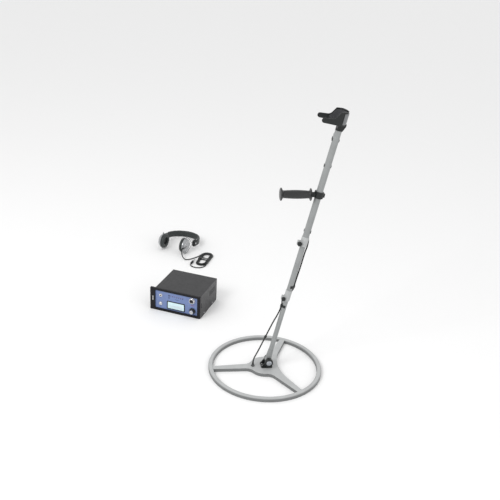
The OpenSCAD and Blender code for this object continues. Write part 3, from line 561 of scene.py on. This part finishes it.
def swell(made, voxel, cap, pressure=4.0):
    """Remeshes a piece, presses it out from inside, and rounds it."""
    remesh = made.modifiers.new("even faces", "REMESH")
    remesh.mode = "VOXEL"
    remesh.voxel_size = voxel
    baked(made)
    start = [v.co.copy() for v in made.data.vertices]
    cloth = made.modifiers.new("press out", "CLOTH")
    cloth.settings.use_pressure = True
    cloth.settings.uniform_pressure_force = pressure
    cloth.settings.effector_weights.gravity = 0
    cloth.settings.tension_stiffness = 20
    cloth.settings.compression_stiffness = 20
    cloth.settings.quality = 4
    for step in range(1, 21):
        scene.frame_set(step)
    shown = made.evaluated_get(bpy.context.evaluated_depsgraph_get())
    ends = [v.co.copy() for v in shown.data.vertices]
    made.modifiers.clear()
    scene.frame_set(1)
    for vertex, a, b in zip(made.data.vertices, start, ends):
        move = b - a
        vertex.co = a + move * min(1, cap / max(move.length, 1e-9))
    print(made.name, "swelled over", len(start), "points")
    smooth = made.modifiers.new("even out", "SMOOTH")
    smooth.iterations = 3
    made.modifiers.new("round", "SUBSURF").levels = 1
    return baked(made)

# %% [markdown]
# ## The headphones' cord
# Two metres of limp 5 mm cord leave the right ear cup through a small black boot, fall to the floor, and
# run to a tied bundle. From there a loose loop comes back with the plug on it. The bundle could be drawn as
# a solid lump, but a cord is one thing from end to end, so it is made as one tube along one line: down from
# the cup, two and three quarter turns inwards round an oval, up a step, two and a half turns outwards on
# top, and out into the loop. Its length is then simply the length of that line.

# %% The line of the cord
cord_r = 2.5 * mm
oval_half = 42 * mm
turn_gap = 5.1 * mm
inner_r = 17 * mm


def on_bundle(*place):
    return bundle @ (Vector(place) * mm)


def round_oval(turns, r, z):
    """A point on an oval of two straights and two half circles, clockwise from the start of its right end."""
    quarter, share = divmod((turns % 1) * 4, 1)
    straight = oval_half * (1 - 2 * share)
    if quarter == 0:
        a = math.pi * (0.5 - share)
        return bundle @ Vector((oval_half + r * math.cos(a), r * math.sin(a), z))
    if quarter == 1:
        return bundle @ Vector((straight, -r, z))
    if quarter == 2:
        a = math.pi * (-0.5 - share)
        return bundle @ Vector((-oval_half + r * math.cos(a), r * math.sin(a), z))
    return bundle @ Vector((-straight, r, z))


from_cup = curve_through([on_bundle(*p) for p in (
    (-0.5, 120.4, 43), (-9, 121, 41.2), (-22, 117.5, 31), (-33.5, 108, 14.6), (-38.5, 92, 4),
    (-32, 76, 2.75), (-14, 62, 2.6), (8, 48, 2.6), (28, 38.5, 2.6))], 8)
winding = []
low_turns, climb, all_turns = 2.75, 0.3, 5.5
for k in range(int(all_turns * 40) + 1):
    t = k / 40
    if t < 0.25:
        winding.append(round_oval(t, 34.9 * mm - (34.9 - 29.8) * mm * t / 0.25, 2.6 * mm))
    elif t < low_turns:
        winding.append(round_oval(t, inner_r + turn_gap * (low_turns - t), 2.6 * mm))
    elif t < low_turns + climb:
        winding.append(round_oval(t, inner_r, (2.6 + 5.1 * (t - low_turns) / climb) * mm))
    else:
        winding.append(round_oval(t, inner_r + turn_gap * (t - low_turns - climb), 7.7 * mm))
to_plug = curve_through([on_bundle(*p) for p in (
    (-48, -29.6, 7), (-60, -29.8, 5), (-74, -27, 3), (-90, -18, 2.6), (-101, 0, 2.6), (-101, 22, 2.6),
    (-92, 40, 2.8), (-80, 46, 4.4), (-71.5, 46, 5.5))], 8)
cord_line = from_cup + winding + to_plug

# %% The cord, its plug, its boot and its tie
cord = piece("headphone_lead", *tube(cord_line, cord_r, 12), None, "cable")
plug_frame = bundle @ Matrix.Translation(Vector((-72, 46, 5.5)) * mm) @ Matrix.Rotation(math.pi / 2, 4, "Y")
plug_body = piece("lead_plug_barrel", *lathe(plug_frame,
                                             in_mm((0, -5), (2.9, -5), (3.3, -3), (3.3, -2.2), (3.7, -2),
                                                   (3.7, -1), (4.3, 0), (5.0, 1), (5.5, 2.5), (5.5, 12),
                                                   (5.1, 12.4), (5.1, 13), (5.5, 13.4), (5.5, 24), (5.0, 25),
                                                   (3.4, 25.4), (0, 25.4)), 32), None, "black_plastic")
plug_pin = piece("lead_plug_pin", *lathe(plug_frame,
                                         in_mm((0, 25), (4.2, 25), (4.2, 26.4), (3.15, 26.6), (3.15, 40),
                                               (2.95, 40.2), (2.95, 41), (3.15, 41.2), (3.15, 46.5),
                                               (2.95, 46.7), (2.95, 47.5), (3.1, 47.7), (3.1, 49),
                                               (2.2, 51.2), (2.6, 53), (2.2, 54.6), (1, 56), (0, 56)), 32),
                 None, "chrome")
cord_out = (cord_line[1] - cord_line[0]).normalized()
boot_frame = axes(cord_line[0], cord_out.orthogonal().normalized(),
                  cord_out.cross(cord_out.orthogonal().normalized()), cord_out)
boot = piece("lead_boot", *lathe(boot_frame, in_mm((0, -6), (5, -6), (5.2, -4), (4.8, -1), (4.2, 0),
                                                   (4.4, 1), (3.9, 2.2), (4.1, 3.4), (3.6, 4.6), (3.8, 5.8),
                                                   (3.3, 7), (3.2, 9), (2.9, 10), (0, 10)), 28), None,
             "rubber")


def tie_line(y_half, z_low, z_high, corner=3):
    """A loop round the middle of the bundle, across it."""
    loop = rounded_outline(2 * y_half, z_high - z_low, corner, 5)
    return [(0, y, z + (z_high + z_low) / 2) for y, z in loop]


def band_round(place, loop, width, thick):
    """A flat strap along a closed loop in the frame's y-z plane."""
    count = len(loop)
    cy = sum(p[1] for p in loop) / count
    cz = sum(p[2] for p in loop) / count
    points, faces = [], []
    for side, grow in ((-1, 0), (1, 0), (1, 1), (-1, 1)):
        for _, y, z in loop:
            out = Vector((0, y - cy, z - cz)).normalized() * thick * grow
            points.append(place @ ((Vector((side * width / 2, y, z)) + out) * mm))
    for row in range(4):
        for k in range(count):
            a, b, n = row * count, (row + 1) % 4 * count, (k + 1) % count
            faces.append((a + k, a + n, b + n, b + k))
    return points, faces


tie = piece("bundle_tie", *joined([band_round(bundle @ Matrix.Translation((x * mm, 0, 0)),
                                              tie_line(32, 0.9, 9.9), 6, 0.6)
                                   for x in (-3.4, 3.4)]
                                  + [lathe(bundle @ Matrix.Translation((0, 4 * mm, 10.4 * mm)),
                                           in_mm((0, -0.8), (4.5, -0.8), (5, 0), (4.6, 0.9), (3, 1.5),
                                                 (0, 1.7)), 20)]), None, "rubber")
for part in (cord, plug_body, plug_pin, boot, tie):
    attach(part, "ear_right")
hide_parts("headphone_cord", "headphone_hank")
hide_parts("headphone_plug")

# %% [markdown]
# ## The coil's cable
# The cable rises from a gland in the hub, meets the pole at a clip, goes round behind the lower collar and
# climbs to the connector at the top. Clips hold it all the way, so it is part of the pole rather than a
# loose cord. It crosses three joints: the tilt at the hub and the two telescopic stages. It is made as four
# stretches: the three lower ones stay fixed where they lie, and the top one rides on the upper pole.

# %% Four stretches of cable
cable_r = 2.75 * mm


def beside_pole(r, angle, up):
    a = math.radians(angle)
    return pole @ (Vector((r * math.cos(a), r * math.sin(a), up)) * mm)


def cable_stretch(name, marks, node):
    made = piece(name, *tube(curve_through(marks, 6), cable_r, 16), None, "cable")
    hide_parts(node)
    return made


hub_marks = [Vector(p) * mm for p in ((-50, 0, 16), (-50, 0, 24), (-49.6, 0, 34), (-46, 0, 52), (-28, 0, 94))]
low_marks = [beside_pole(*p) for p in ((27.7, 180, 162), (18.5, 179, 202), (13.9, 178, 226),
                                       (12.6, 176, 243), (12.5, 176, 260))]
lead_line = curve_through(hub_marks + low_marks, 6)
bead_at, bead_next = lead_line[len(lead_line) // 2], lead_line[len(lead_line) // 2 + 1]
bead_up = (bead_next - bead_at).normalized()
bead_side = bead_up.orthogonal().normalized()
bead = lathe(axes(bead_at, bead_side, bead_up.cross(bead_side), bead_up),
             in_mm((0, -7), (3.4, -7), (4.6, -5), (5.2, -2), (5.2, 2), (4.6, 5), (3.4, 7), (0, 7)), 24)
cable_low = piece("hub_cable", *joined([tube(lead_line, cable_r, 16), bead]), None, "cable")
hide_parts("coil_cable_low")
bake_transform(cable_low)

round_marks = [beside_pole(*p) for p in ((12.5, 176, 259), (12.9, 172, 264), (14.8, 156, 271),
                                         (17.4, 138, 279), (18.6, 118, 289), (18.2, 88, 300), (17, 58, 311),
                                         (15.9, 32, 320), (14.9, 12, 328), (14.1, 1.5, 334), (14, 0, 338),
                                         (14, 0, 344), (14, 0, 350))]
cable_round = cable_stretch("collar_cable", round_marks, "coil_cable_round")
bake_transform(cable_round)

middle_marks = [beside_pole(*p) for p in ((14, 0, 349), (14.2, 0, 380), (15.4, 0, 430), (15.2, 0, 480),
                                          (16, 0, 503), (17.4, 2, 518), (17.5, 12, 536), (17.5, 34, 554),
                                          (16.4, 52, 565), (15.6, 58.5, 572), (15.4, 60, 577),
                                          (15.4, 60, 588))]
cable_middle = cable_stretch("middle_cable", middle_marks, "coil_cable_middle")
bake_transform(cable_middle)

upper_marks = [beside_pole(*p) for p in ((15.4, 60, 587), (15.8, 66, 612), (18, 74, 650), (21.8, 80, 684),
                                         (21.8, 82.5, 702), (21.8, 82.5, 733), (21.8, 82.5, 764),
                                         (21.8, 82.5, 782), (17, 86.5, 815), (15.6, 88, 832),
                                         (15.4, 88, 840), (15.4, 88, 854), (15.8, 88, 890), (18.5, 88, 912),
                                         (21, 88, 925), (21.2, 88, 937))]
cable_upper = cable_stretch("upper_cable", upper_marks, "coil_cable_upper")
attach(cable_upper, "upper_pole")

# %% The boot at the gland
piece("gland_boot", *lathe(Matrix.Translation(Vector((-50, 0, 22)) * mm),
                           in_mm((0, 0), (4.3, 0), (4.5, 1), (4.1, 2), (4.3, 3), (3.8, 4), (4.0, 5),
                                 (3.6, 6), (3.8, 7), (3.3, 8), (3.4, 9), (3.1, 11), (2.95, 12), (0, 12)),
    28), "search_coil", "rubber")
print("cable stretches:", [round(line_length(curve_through(m, 6)), 3)
                           for m in (hub_marks + low_marks, round_marks, middle_marks, upper_marks)])

# %% [markdown]
# ## The grip and the knobs
# The grip is one rubber moulding with a flange at each end. It is turned on the lathe from its outline, and
# its surface is drawn in by shallow flutes that run along it and fade out towards the flanges, which is
# what keeps a wet hand from slipping.

# %% A fluted rubber grip
grip_start = 26.5
grip_length = 121
swell_height = 1.8
grip_outline = [(4, -1), (11.4, -1), (12.1, -0.7), (13.2, 0.6), (17, 1.9), (22.4, 3.0), (23.6, 3.7),
                (24, 4.3), (23.7, 5.0), (22.8, 5.6), (19, 6.6), (16.2, 8.2), (14.9, 10)]
grip_outline += [(14.5 + swell_height * math.sin(math.pi * i / 24), 12 + (grip_length - 27) * i / 24)
                 for i in range(25)]
grip_outline += [(14.9, grip_length - 13), (16.2, grip_length - 10.8), (19.4, grip_length - 8.4),
                 (23, grip_length - 6.9),
                 (24.3, grip_length - 5.6), (24.5, grip_length - 4.4), (24, grip_length - 3.2),
                 (21.5, grip_length - 1.8),
                 (14, grip_length - 0.4), (0.5, grip_length), (0.5, grip_length - 7.9),
                 (4, grip_length - 7.9)]


def fluted(r, z, angle):
    along = (z / mm - grip_start - 14) / (grip_length - 31)
    if not 0 < along < 1 or r < 10 * mm:
        return r
    return r - 0.45 * mm * math.sin(math.pi * along)**0.4 * (0.5 + 0.5 * math.cos(28 * angle))**2


grip_finish = finish("polished grip rubber", (0.009, 0.01, 0.01), 0.34, height=pebbles(0.0011),
                     depth=0.00004, blotch=0.02,
                     Specular_IOR_Level=0.5, Coat_Weight=0.15, Coat_Roughness=0.25)
grip = piece("rubber_grip", *lathe(handle, [(r * mm, (grip_start + z) * mm) for r, z in grip_outline], 168,
                                   fluted), "grip", "rubber", grip_finish, 50)
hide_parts("handle_grip")
print("grip:", len(grip.data.polygons), "faces")

# %% [markdown]
# ## The front panel
# The panel sits back inside the black frame. On it are a lit display behind a dark bezel, a round socket
# for the coil, a tuning knob, a push button and a headphone socket. Printing on a real panel is ink a
# tenth of a millimetre thick, so each mark is a thin plate. The marks here are plain bars, ticks and a
# small aerial sign, with no words.

# %% The display: bezel, lens and bars
def on_panel(x, z, out=0.0):
    """A frame on the panel's face, x and z in millimetres from its middle line and from the floor."""
    return panel @ Matrix.Translation(Vector((x, z, out)) * mm)


window_x, window_z, window_w, window_h = -2, 36, 82, 34


def frame_ring(place, outer, inner, thick, ease):
    """A flat ring between two outlines of the same count, its outer top edge eased."""
    count = len(outer)
    rows = [(outer, 0), (outer, thick - ease), ([(x * (1 - ease / 40), y * (1 - ease / 20))
                                                 for x, y in outer], thick),
            (inner, thick), (inner, 0)]
    points = [place @ (Vector((x, y, z)) * mm) for outline, z in rows for x, y in outline]
    faces = between_rings(range(len(rows)), count, len(rows))
    return points, faces


piece("display_bezel", *frame_ring(on_panel(window_x, window_z),
                                   rounded_outline(window_w + 7, window_h + 7, 4.5),
                                           rounded_outline(window_w - 1, window_h - 1, 1.6), 1.6, 0.5),
      "control_box", "frame_black")
lens_outline = [(x * mm, y * mm) for x, y in rounded_outline(window_w - 0.6, window_h - 0.6, 1.4)]
lens = piece("display_lens", *plate(on_panel(window_x, window_z, -1.8), lens_outline, 2.4 * mm, 0.3 * mm),
             "control_box", "display")
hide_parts("display_window")
meter = [bar(on_panel(window_x, window_z, 0.55), x * mm, -3 * mm, 2.6 * mm, h * mm) for x, h in
         ((-30 + 5 * i, 3 + 0.9 * i) for i in range(13))]
meter += [bar(on_panel(window_x, window_z, 0.55), 0, -12.5 * mm, 68 * mm, 0.5 * mm)]
meter += [bar(on_panel(window_x, window_z, 0.55), (-34 + 6.8 * i) * mm, -11.4 * mm, 0.5 * mm, 1.8 * mm)
          for i in range(11)]
piece("display_bars", *joined(meter), "control_box", "display", pale_mark_finish)

# %% The coil socket: black insert, pin holes and knurled ring
socket_x, socket_z = 78, 84
socket_place = on_panel(socket_x, socket_z)
insert = lathe(socket_place, in_mm((0, -1.8), (9.5, -1.8), (9.5, 2.2), (9.2, 2.6), (0, 2.6)), 48)
piece("socket_insert", *insert, "control_box", "black_plastic")
pins = [lathe(socket_place @ Matrix.Translation(Vector((5 * math.cos(a), 5 * math.sin(a), 0)) * mm),
              in_mm((0, 2.4), (1.25, 2.4), (1.25, 6.6), (0.8, 7.3), (0, 7.4)), 16)
        for a in (math.tau * i / 5 for i in range(5))]
piece("socket_pins", *joined(pins), "control_box", "silver_cap")
knurl = lathe(socket_place, in_mm((11.52, 3.1), (13.0, 3.1), (13.3, 3.5), (13.3, 6.1), (13.0, 6.5),
                                  (11.52, 6.5)),
              144, lambda r, z, a: r - (0.3 * mm * (0.5 + 0.5 * math.cos(36 * a)) if r > 13.1 * mm else 0))
piece("socket_ring", *knurl, "control_box", "chrome")
rim = lathe(socket_place, in_mm((9.6, 10.6), (11.0, 10.9), (11.6, 11.1), (12.1, 10.7), (12.1, 9.6),
                                (11.55, 9.2), (11.55, 8.8), (9.62, 8.8)), 64)
piece("socket_lip", *rim, "control_box", "chrome")

# %% The nuts of the two small fittings
left_x, button_z, jack_z = -77, 36, 78


def fitting_nut(name, z, bore, across, tall):
    """A round nut with a coin-edged rim, round a fitting on the panel."""
    outline = [(bore, 0.05), (across, 0.05), (across, tall - 0.5), (across - 0.5, tall), (bore, tall)]
    edge = lathe(on_panel(left_x, z), [(r * mm, h * mm) for r, h in outline], 120,
                 lambda r, h, a: r - (0.25 * mm * (0.5 + 0.5 * math.cos(30 * a))
                                      if r > (across - 0.1) * mm else 0))
    return piece(name, *edge, "control_box", "chrome")


fitting_nut("jack_nut", jack_z, 6.55, 8.0, 1.8)
fitting_nut("button_collar", button_z, 5.1, 8.6, 3.0)
dark_well = lathe(on_panel(left_x, jack_z), in_mm((0, -17), (3.15, -17), (3.15, -2), (3.1, -1.9), (2.9, -16),
                                                  (0, -16)), 32)
piece("jack_well", *dark_well, "control_box", "black_plastic")

# %% Printed marks on the panel
ink = []
ink += [bar(on_panel(left_x, jack_z - 14), 0, 0, 7 * mm, 1.1 * mm),
        bar(on_panel(left_x, button_z - 15), 0, 0, 9 * mm, 1.1 * mm)]
ink += [bar(on_panel(socket_x, socket_z - 21), 0, 0, 11 * mm, 1.2 * mm),
        bar(on_panel(2, 69.5), 0, 0, 17 * mm, 1.6 * mm)]
aerial_x, aerial_z = -36, 76
for dx, dz, w, h in ((0, 2, 1.3, 17), (0, 10.5, 7.4, 1.3), (-3, 7, 1.3, 7), (3, 7, 1.3, 7)):
    ink.append(bar(on_panel(aerial_x, aerial_z), dx * mm, dz * mm, w * mm, h * mm))
for tilt_way in (-1, 1):
    leg = on_panel(aerial_x, aerial_z - 6.5) @ Matrix.Rotation(math.radians(42 * tilt_way), 4, "Z")
    ink.append(bar(leg, 0, 3 * mm, 1.3 * mm, 7 * mm))
for i in range(7):
    ink.append(bar(on_panel(2 + 9.5 * (i - 3), 79.5), 0, 0, (1.6 + 0.15 * i) * mm, (2.6 + 0.25 * i) * mm))
tuner_x, tuner_z = 80, 32
for i in range(11):
    tick = on_panel(tuner_x, tuner_z) @ Matrix.Rotation(math.radians(-135 + 27 * i), 4, "Z")
    ink.append(bar(tick, 0, 17.6 * mm, 0.7 * mm, (2.6 if i % 5 == 0 else 1.6) * mm))
piece("panel_marks", *joined(ink), "control_box", "panel_blue", print_and_recess_shade_finish)
piece("panel_red_mark", *joined([bar(on_panel(socket_x + 1, socket_z - 26), 0, 0, 17 * mm, 1.5 * mm)]),
      "control_box", "red_lens", red_mark_finish)
pointer = bar(panel @ Matrix.Translation(Vector((tuner_x, tuner_z, 18.35)) * mm), 0, 4.6 * mm, 1.1 * mm,
              5.6 * mm, 0.00025)
piece("tuner_pointer", *pointer, "tuner", "black_plastic", print_and_recess_shade_finish)
print(len(ink), "printed marks")

# %% [markdown]
# ## The ear cushions
# Each cushion is a ring of foam in soft vinyl. The vinyl is gathered where it turns in to the middle, so
# small pleats run round the inner edge. A lathe gives the plain ring, the cloth solver gives it the fullness
# of foam, and the pleats are pressed in afterwards, because the remesh would wash them out. A disc of
# speaker cloth closes the middle, and a piping hides the join to the shell.

# %% Soft shaping after the solver
def press_in(made, how_deep):
    """Moves each point of a piece along its normal by how_deep(point), in metres, inwards if positive."""
    mesh = made.data
    moves = [(v.index, v.normal * how_deep(v.co)) for v in mesh.vertices]
    for index, move in moves:
        mesh.vertices[index].co -= move
    return made


def dip(distance, width):
    """1 on a line and 0 beyond width from it, with a smooth slope."""
    share = min(1, abs(distance) / width)
    return (1 - share * share) ** 2


# %% Two cushions with cloth, piping and shell trim
cushion_outline = in_mm((19.4, -9), (19.8, -12.4), (21.6, -15), (24.6, -16.2), (28.5, -16.4), (32.6, -16.2),
                        (35.8, -15), (37.7, -12.4), (38.1, -9), (37.7, -5.4), (36.2, -2.6), (34, -1.2),
                        (28.5, -1.0), (23, -1.2), (21, -2.6), (19.8, -5.4))


def ear_cushion(side, body, node):
    word = "left" if side < 0 else "right"
    place = ear_frame(side)
    away = place.inverted()
    cushion = piece("ear_cushion_ring_" + word, *lathe(place, cushion_outline, 72), None, "vinyl")
    swell(cushion, 2.6 * mm, 0.9 * mm)

    def pleats(point):
        local = away @ point
        r = math.hypot(local.x, local.y) / mm
        turned = math.atan2(local.y, local.x)
        inner = max(0, min(1, (27 - r) / 6)) * max(0, min(1, (-2 - local.z / mm) / 3))
        seam = 0.55 * dip(r - 33.5, 1.8) * (1 if local.z < -10 * mm else 0)
        return mm * (0.28 * inner * (0.5 + 0.5 * math.cos(32 * turned + 0.6 * math.sin(5 * turned))) + seam)

    press_in(cushion, pleats)
    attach(cushion, body)
    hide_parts(node)
    piece("speaker_cloth_" + word, *lathe(place, in_mm((0, -6.6), (6, -6.4), (12, -5.9), (17, -5),
                                                       (20.2, -3.8), (20.2, -2.8), (0, -2.8)), 64), body,
          "vinyl", cloth_finish)
    piece("cushion_piping_" + word, *lathe(place,
                                           [((37.3 + math.cos(a)) * mm, (-0.95 + 0.9 * math.sin(a)) * mm)
                                                  for a in (math.tau * k / 12 for k in range(12))], 96),
          body, "vinyl")
    piece("shell_ring_" + word, *lathe(place, [((26.4 + 0.75 * math.cos(a)) * mm,
                                                (16.8 + 0.7 * math.sin(a)) * mm)
                                              for a in (math.tau * k / 10 for k in range(10))], 96), body,
          "chrome")
    return cushion


left_cushion = ear_cushion(-1, "ear_left", "ear_cushion_left")
ear_cushion(1, "ear_right", "ear_cushion_right")
print("cushions:", len(left_cushion.data.polygons), "faces each")

# %% [markdown]
# ## The padded headband
# A flat steel band carries a sewn sleeve of vinyl over foam. The sleeve is drawn as a rounded strip bent
# round the band, swelled like the cushions, and then sewn: a groove along each edge where the thread pulls
# the vinyl down, and stitches lying in it. Each stitch is dropped onto the finished surface by a ray.

# %% The sleeve
band_r, band_y, pad_sweep = 88, 95, math.radians(190)
band_frame = phones @ Matrix.Translation((0, band_y * mm, 0))
band_away = band_frame.inverted()


def on_band(share, out, across):
    """A point by its share of the way along the sleeve, its height over the band and its place across."""
    a = math.pi / 2 - pad_sweep / 2 + pad_sweep * share
    r = band_r + out
    return band_frame @ (Vector((r * math.cos(a), r * math.sin(a), across)) * mm)


sleeve_section = [(x * 0.86, z * 0.95) for x, z in rounded_outline(9, 38, 4.2, 4)]
sleeve_points = []
sleeve_rows = 97
for i in range(sleeve_rows):
    share = i / (sleeve_rows - 1)
    end = min(1, min(share, 1 - share) / 0.012 + 0.72)
    sleeve_points += [on_band(share, x * end, z * end) for x, z in sleeve_section]
section_count = len(sleeve_section)
sleeve_faces = between_rings(range(sleeve_rows - 1), section_count)
sleeve_faces += [tuple(reversed(range(section_count))),
                 tuple(range((sleeve_rows - 1) * section_count, sleeve_rows * section_count))]
sleeve = piece("headband_sleeve", sleeve_points, sleeve_faces, None, "vinyl")
swell(sleeve, 3 * mm, 1.0 * mm)


def sewn(point):
    local = band_away @ point
    across = local.z / mm
    return 0.6 * mm * max(dip(across - 14.5, 1.9), dip(across + 14.5, 1.9))


press_in(sleeve, sewn)
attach(sleeve, "headset")
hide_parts("headband_pad")

# %% The stitches
sleeve_surface = BVHTree.FromPolygons([v.co for v in sleeve.data.vertices],
                                      [tuple(p.vertices) for p in sleeve.data.polygons])
stitches = []
stitch_count = 62
for face_way in (-1, 1):
    for across in (-14.5, 14.5):
        ends = []
        for i in range(2 * stitch_count):
            share = 0.025 + 0.95 * (i - 0.25 * (i % 2)) / (2 * stitch_count - 1)
            from_point = on_band(share, face_way * 20, across)
            hit = sleeve_surface.ray_cast(from_point, on_band(share, 0, across) - from_point)
            ends.append(hit[0])
        for a, b in zip(ends[::2], ends[1::2]):
            if a and b:
                stitches.append(tube([a, a.lerp(b, 0.25), a.lerp(b, 0.5), a.lerp(b, 0.75), b], 0.42 * mm, 6))
piece("headband_stitches", *joined(stitches), "headset", "vinyl", thread_finish)
print(len(stitches), "stitches")

# %% [markdown]
# ## Sliders and wire yokes
# At each end of the band a moulded block holds the rod of a wire yoke. The block is a pillow shape: a
# sphere whose sines and cosines are raised to a power below one, which squares it off. The yoke is one
# bent wire on each side of the ear, ending in the pin that the shell turns on.

# %% Pillow blocks
def pillow(place, across, deep, tall, squareness=0.62, columns=36, rows=20):
    def eased(value):
        return math.copysign(abs(value) ** squareness, value)
    points = [place @ Vector((0, 0, -tall))]
    for i in range(1, rows):
        up = -math.pi / 2 + math.pi * i / rows
        for k in range(columns):
            a = math.tau * k / columns
            points.append(place @ Vector((across * eased(math.cos(up)) * eased(math.cos(a)),
                                          deep * eased(math.cos(up)) * eased(math.sin(a)),
                                          tall * eased(math.sin(up)))))
    points.append(place @ Vector((0, 0, tall)))
    faces = between_rings(range(rows - 2), columns, first=1)
    faces += [(0, 1 + (k + 1) % columns, 1 + k) for k in range(columns)]
    last = len(points) - 1
    faces += [(last, last - columns + k, last - columns + (k + 1) % columns) for k in range(columns)]
    return points, faces


band_lean = math.radians(10)
slider_x = band_r * math.cos(band_lean) - 9 * math.sin(band_lean)
slider_y = band_y - band_r * math.sin(band_lean) - 9 * math.cos(band_lean)
blocks, caps = [], []
for side in (-1, 1):
    place = phones @ Matrix.Translation(Vector((side * slider_x, slider_y,
                                                0)) * mm) @ Matrix.Rotation(-side * band_lean, 4, "Z")
    blocks.append(pillow(place, 8.6 * mm, 15.5 * mm, 18.5 * mm))
    outward = place @ Matrix.Rotation(side * math.pi / 2, 4, "Y")
    caps.append(lathe(outward, in_mm((0, 7), (4.2, 7), (4.4, 8.3), (4, 8.9), (2, 9.2), (0, 9.2)), 32))
slider_blocks = piece("band_slider_blocks", *joined(blocks), "headset", "black_plastic")
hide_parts("band_sliders")
piece("slider_rivets", *joined(caps), "headset", "steel")

# %% Wire yokes
wire_finish = finish("spring wire", (0.30, 0.31, 0.32), 0.3, 1.0, grain=0.0003, depth=0.000008)
fork_x, fork_y = slider_x - 21 * math.sin(band_lean), slider_y - 21 * math.cos(band_lean)
for side, word in ((-1, "left"), (1, "right")):
    wires = []
    for way in (-1, 1):
        marks = [(side * fork_x, fork_y + 3.4, 0), (side * fork_x, fork_y - 0.6, way * 1.8),
                 (side * 75, 20, way * 33),
                 (side * 72.4, 6.5, way * 41.2), (side * 69.6, 1.4, way * 43.9),
                 (side * 68.1, 0, way * 42.4), (side * 68, 0, way * 39.4),
                 (side * 68, 0, way * 35.6)]
        wires.append(tube(curve_through([phones @ (Vector(p) * mm) for p in marks], 8), 1.4 * mm, 12))
    rod = [phones @ (Vector((side * (slider_x + step * math.sin(band_lean)),
                             slider_y + step * math.cos(band_lean), 0)) * mm)
           for step in (6, -7, -20.5)]
    wires.append(tube(rod, 1.5 * mm, 14))
    yoke = piece("wire_yoke_" + word, *joined(wires), "yoke_" + word, "steel", wire_finish)
    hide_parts("ear_yoke_" + word)
print("blocks and yokes made")

# %% [markdown]
# ## The arm cup's pad
# The forearm rests in a U of thin foam in a knitted cover. The strip follows the inside of the cup, as high
# as the cup's own edge allows, and it is swelled and then quilted by upright channels.

# %% A quilted U
def cup_top(x):
    """Height of the cup's upper edge at x, in millimetres."""
    if x > -20:
        return 48 + 4 * min(1, (x + 20) / 22)
    if x > -32.2:
        return 27.7 + 20.3 * (x + 32.2) / 12.2
    return 40 - math.sqrt(max(0, 400 - (x + 48) ** 2))


def round_cup(along, r):
    """x and y at a distance along the U, from the tip of one arm to the other, at a radius r."""
    arm = 20
    bend = math.pi * r
    total = 2 * arm + bend
    d = along * total
    if d < arm:
        return -20 - (arm - d), -r
    if d > arm + bend:
        return -20 - (d - arm - bend), r
    a = (d - arm) / r - math.pi / 2
    return -20 + r * math.cos(a), r * math.sin(a)


pad_columns, pad_rows = 96, 14
pad_points = []
for r in (30.7, 32.6):
    for i in range(pad_columns + 1):
        x, y = round_cup(i / pad_columns, r)
        low, high = 4.2, min(46, cup_top(x) - 4.5)
        for k in range(pad_rows + 1):
            pad_points.append(arm_cup @ (Vector((x, y, low + (high - low) * k / pad_rows)) * mm))
stride = pad_rows + 1
skin = (pad_columns + 1) * stride
pad_faces = []
for i in range(pad_columns):
    for k in range(pad_rows):
        a = i * stride + k
        pad_faces += [(a, a + 1, a + stride + 1, a + stride),
                      (skin + a, skin + a + stride, skin + a + stride + 1, skin + a + 1)]
    for a in (i * stride, i * stride + pad_rows):
        pad_faces.append((a, a + stride, skin + a + stride, skin + a))
for a in list(range(pad_rows)) + list(range(pad_columns * stride, pad_columns * stride + pad_rows)):
    pad_faces.append((a, a + 1, skin + a + 1, skin + a))
cup_pad = piece("forearm_pad", pad_points, pad_faces, None, "foam")
swell(cup_pad, 1.5 * mm, 0.5 * mm)
cup_away = arm_cup.inverted()


def quilted(point):
    local = (cup_away @ point) / mm
    turned = math.degrees(math.atan2(local.y, local.x + 20))
    return 0.5 * mm * max(dip((turned - at) * 0.55, 1.8) for at in (-75, -50, -25, 0, 25, 50, 75))


press_in(cup_pad, quilted)
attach(cup_pad, "upper_pole")
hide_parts("arm_cup_pad")
print("arm pad:", len(cup_pad.data.polygons), "faces")

# %% [markdown]
# ## Small metalwork
# A screw head reads as a screw because of its recess. The recess is not cut: each cross is two dark bars
# laid on the head, painted shade where the recess would be. They are in one piece for each body, because
# they move together.

# %% Crosses of painted shade on the screw heads
# painted shade: each cross stands for a screw's recess, two thin dark bars on the head
def cross_on(place, size):
    return [bar(place, 0, 0, size * mm, size * 0.24 * mm, 0.00006),
            bar(place, 0, 0, size * 0.24 * mm, size * mm, 0.00006)]


hub_screws = []
for x in (-12, 22):
    for y in (-6, 6):
        hub_screws += cross_on(Matrix.Translation(Vector((x, y, 19.8)) * mm), 2.8)
piece("hub_screw_crosses", *joined(hub_screws), "search_coil", "steel", print_and_recess_shade_finish)
case_frame_mid = middle("case_frame")
box_middle = Vector((case_frame_mid.x, case_frame_mid.y, 0)) + into_box * 96 * mm + box_right * 12 * mm
box_screws = []
for side in (-1, 1):
    for deep in (-50, 50):
        at = box_middle + (box_right * side * (111 + 1.4) + into_box * deep + upward * 9) * mm
        out = box_right * side
        box_screws += cross_on(axes(at, upward.cross(out), upward, out), 3)
piece("box_screw_crosses", *joined(box_screws), "control_box", "steel", print_and_recess_shade_finish)
cup_screws = []
for up in (15, 36):
    cup_screws += cross_on(arm_cup @ Matrix.Translation(Vector((10.6, 0,
        up)) * mm) @ Matrix.Rotation(-math.pi / 2, 4, "Y"), 4)
piece("cup_screw_crosses", *joined(cup_screws), "upper_pole", "steel", print_and_recess_shade_finish)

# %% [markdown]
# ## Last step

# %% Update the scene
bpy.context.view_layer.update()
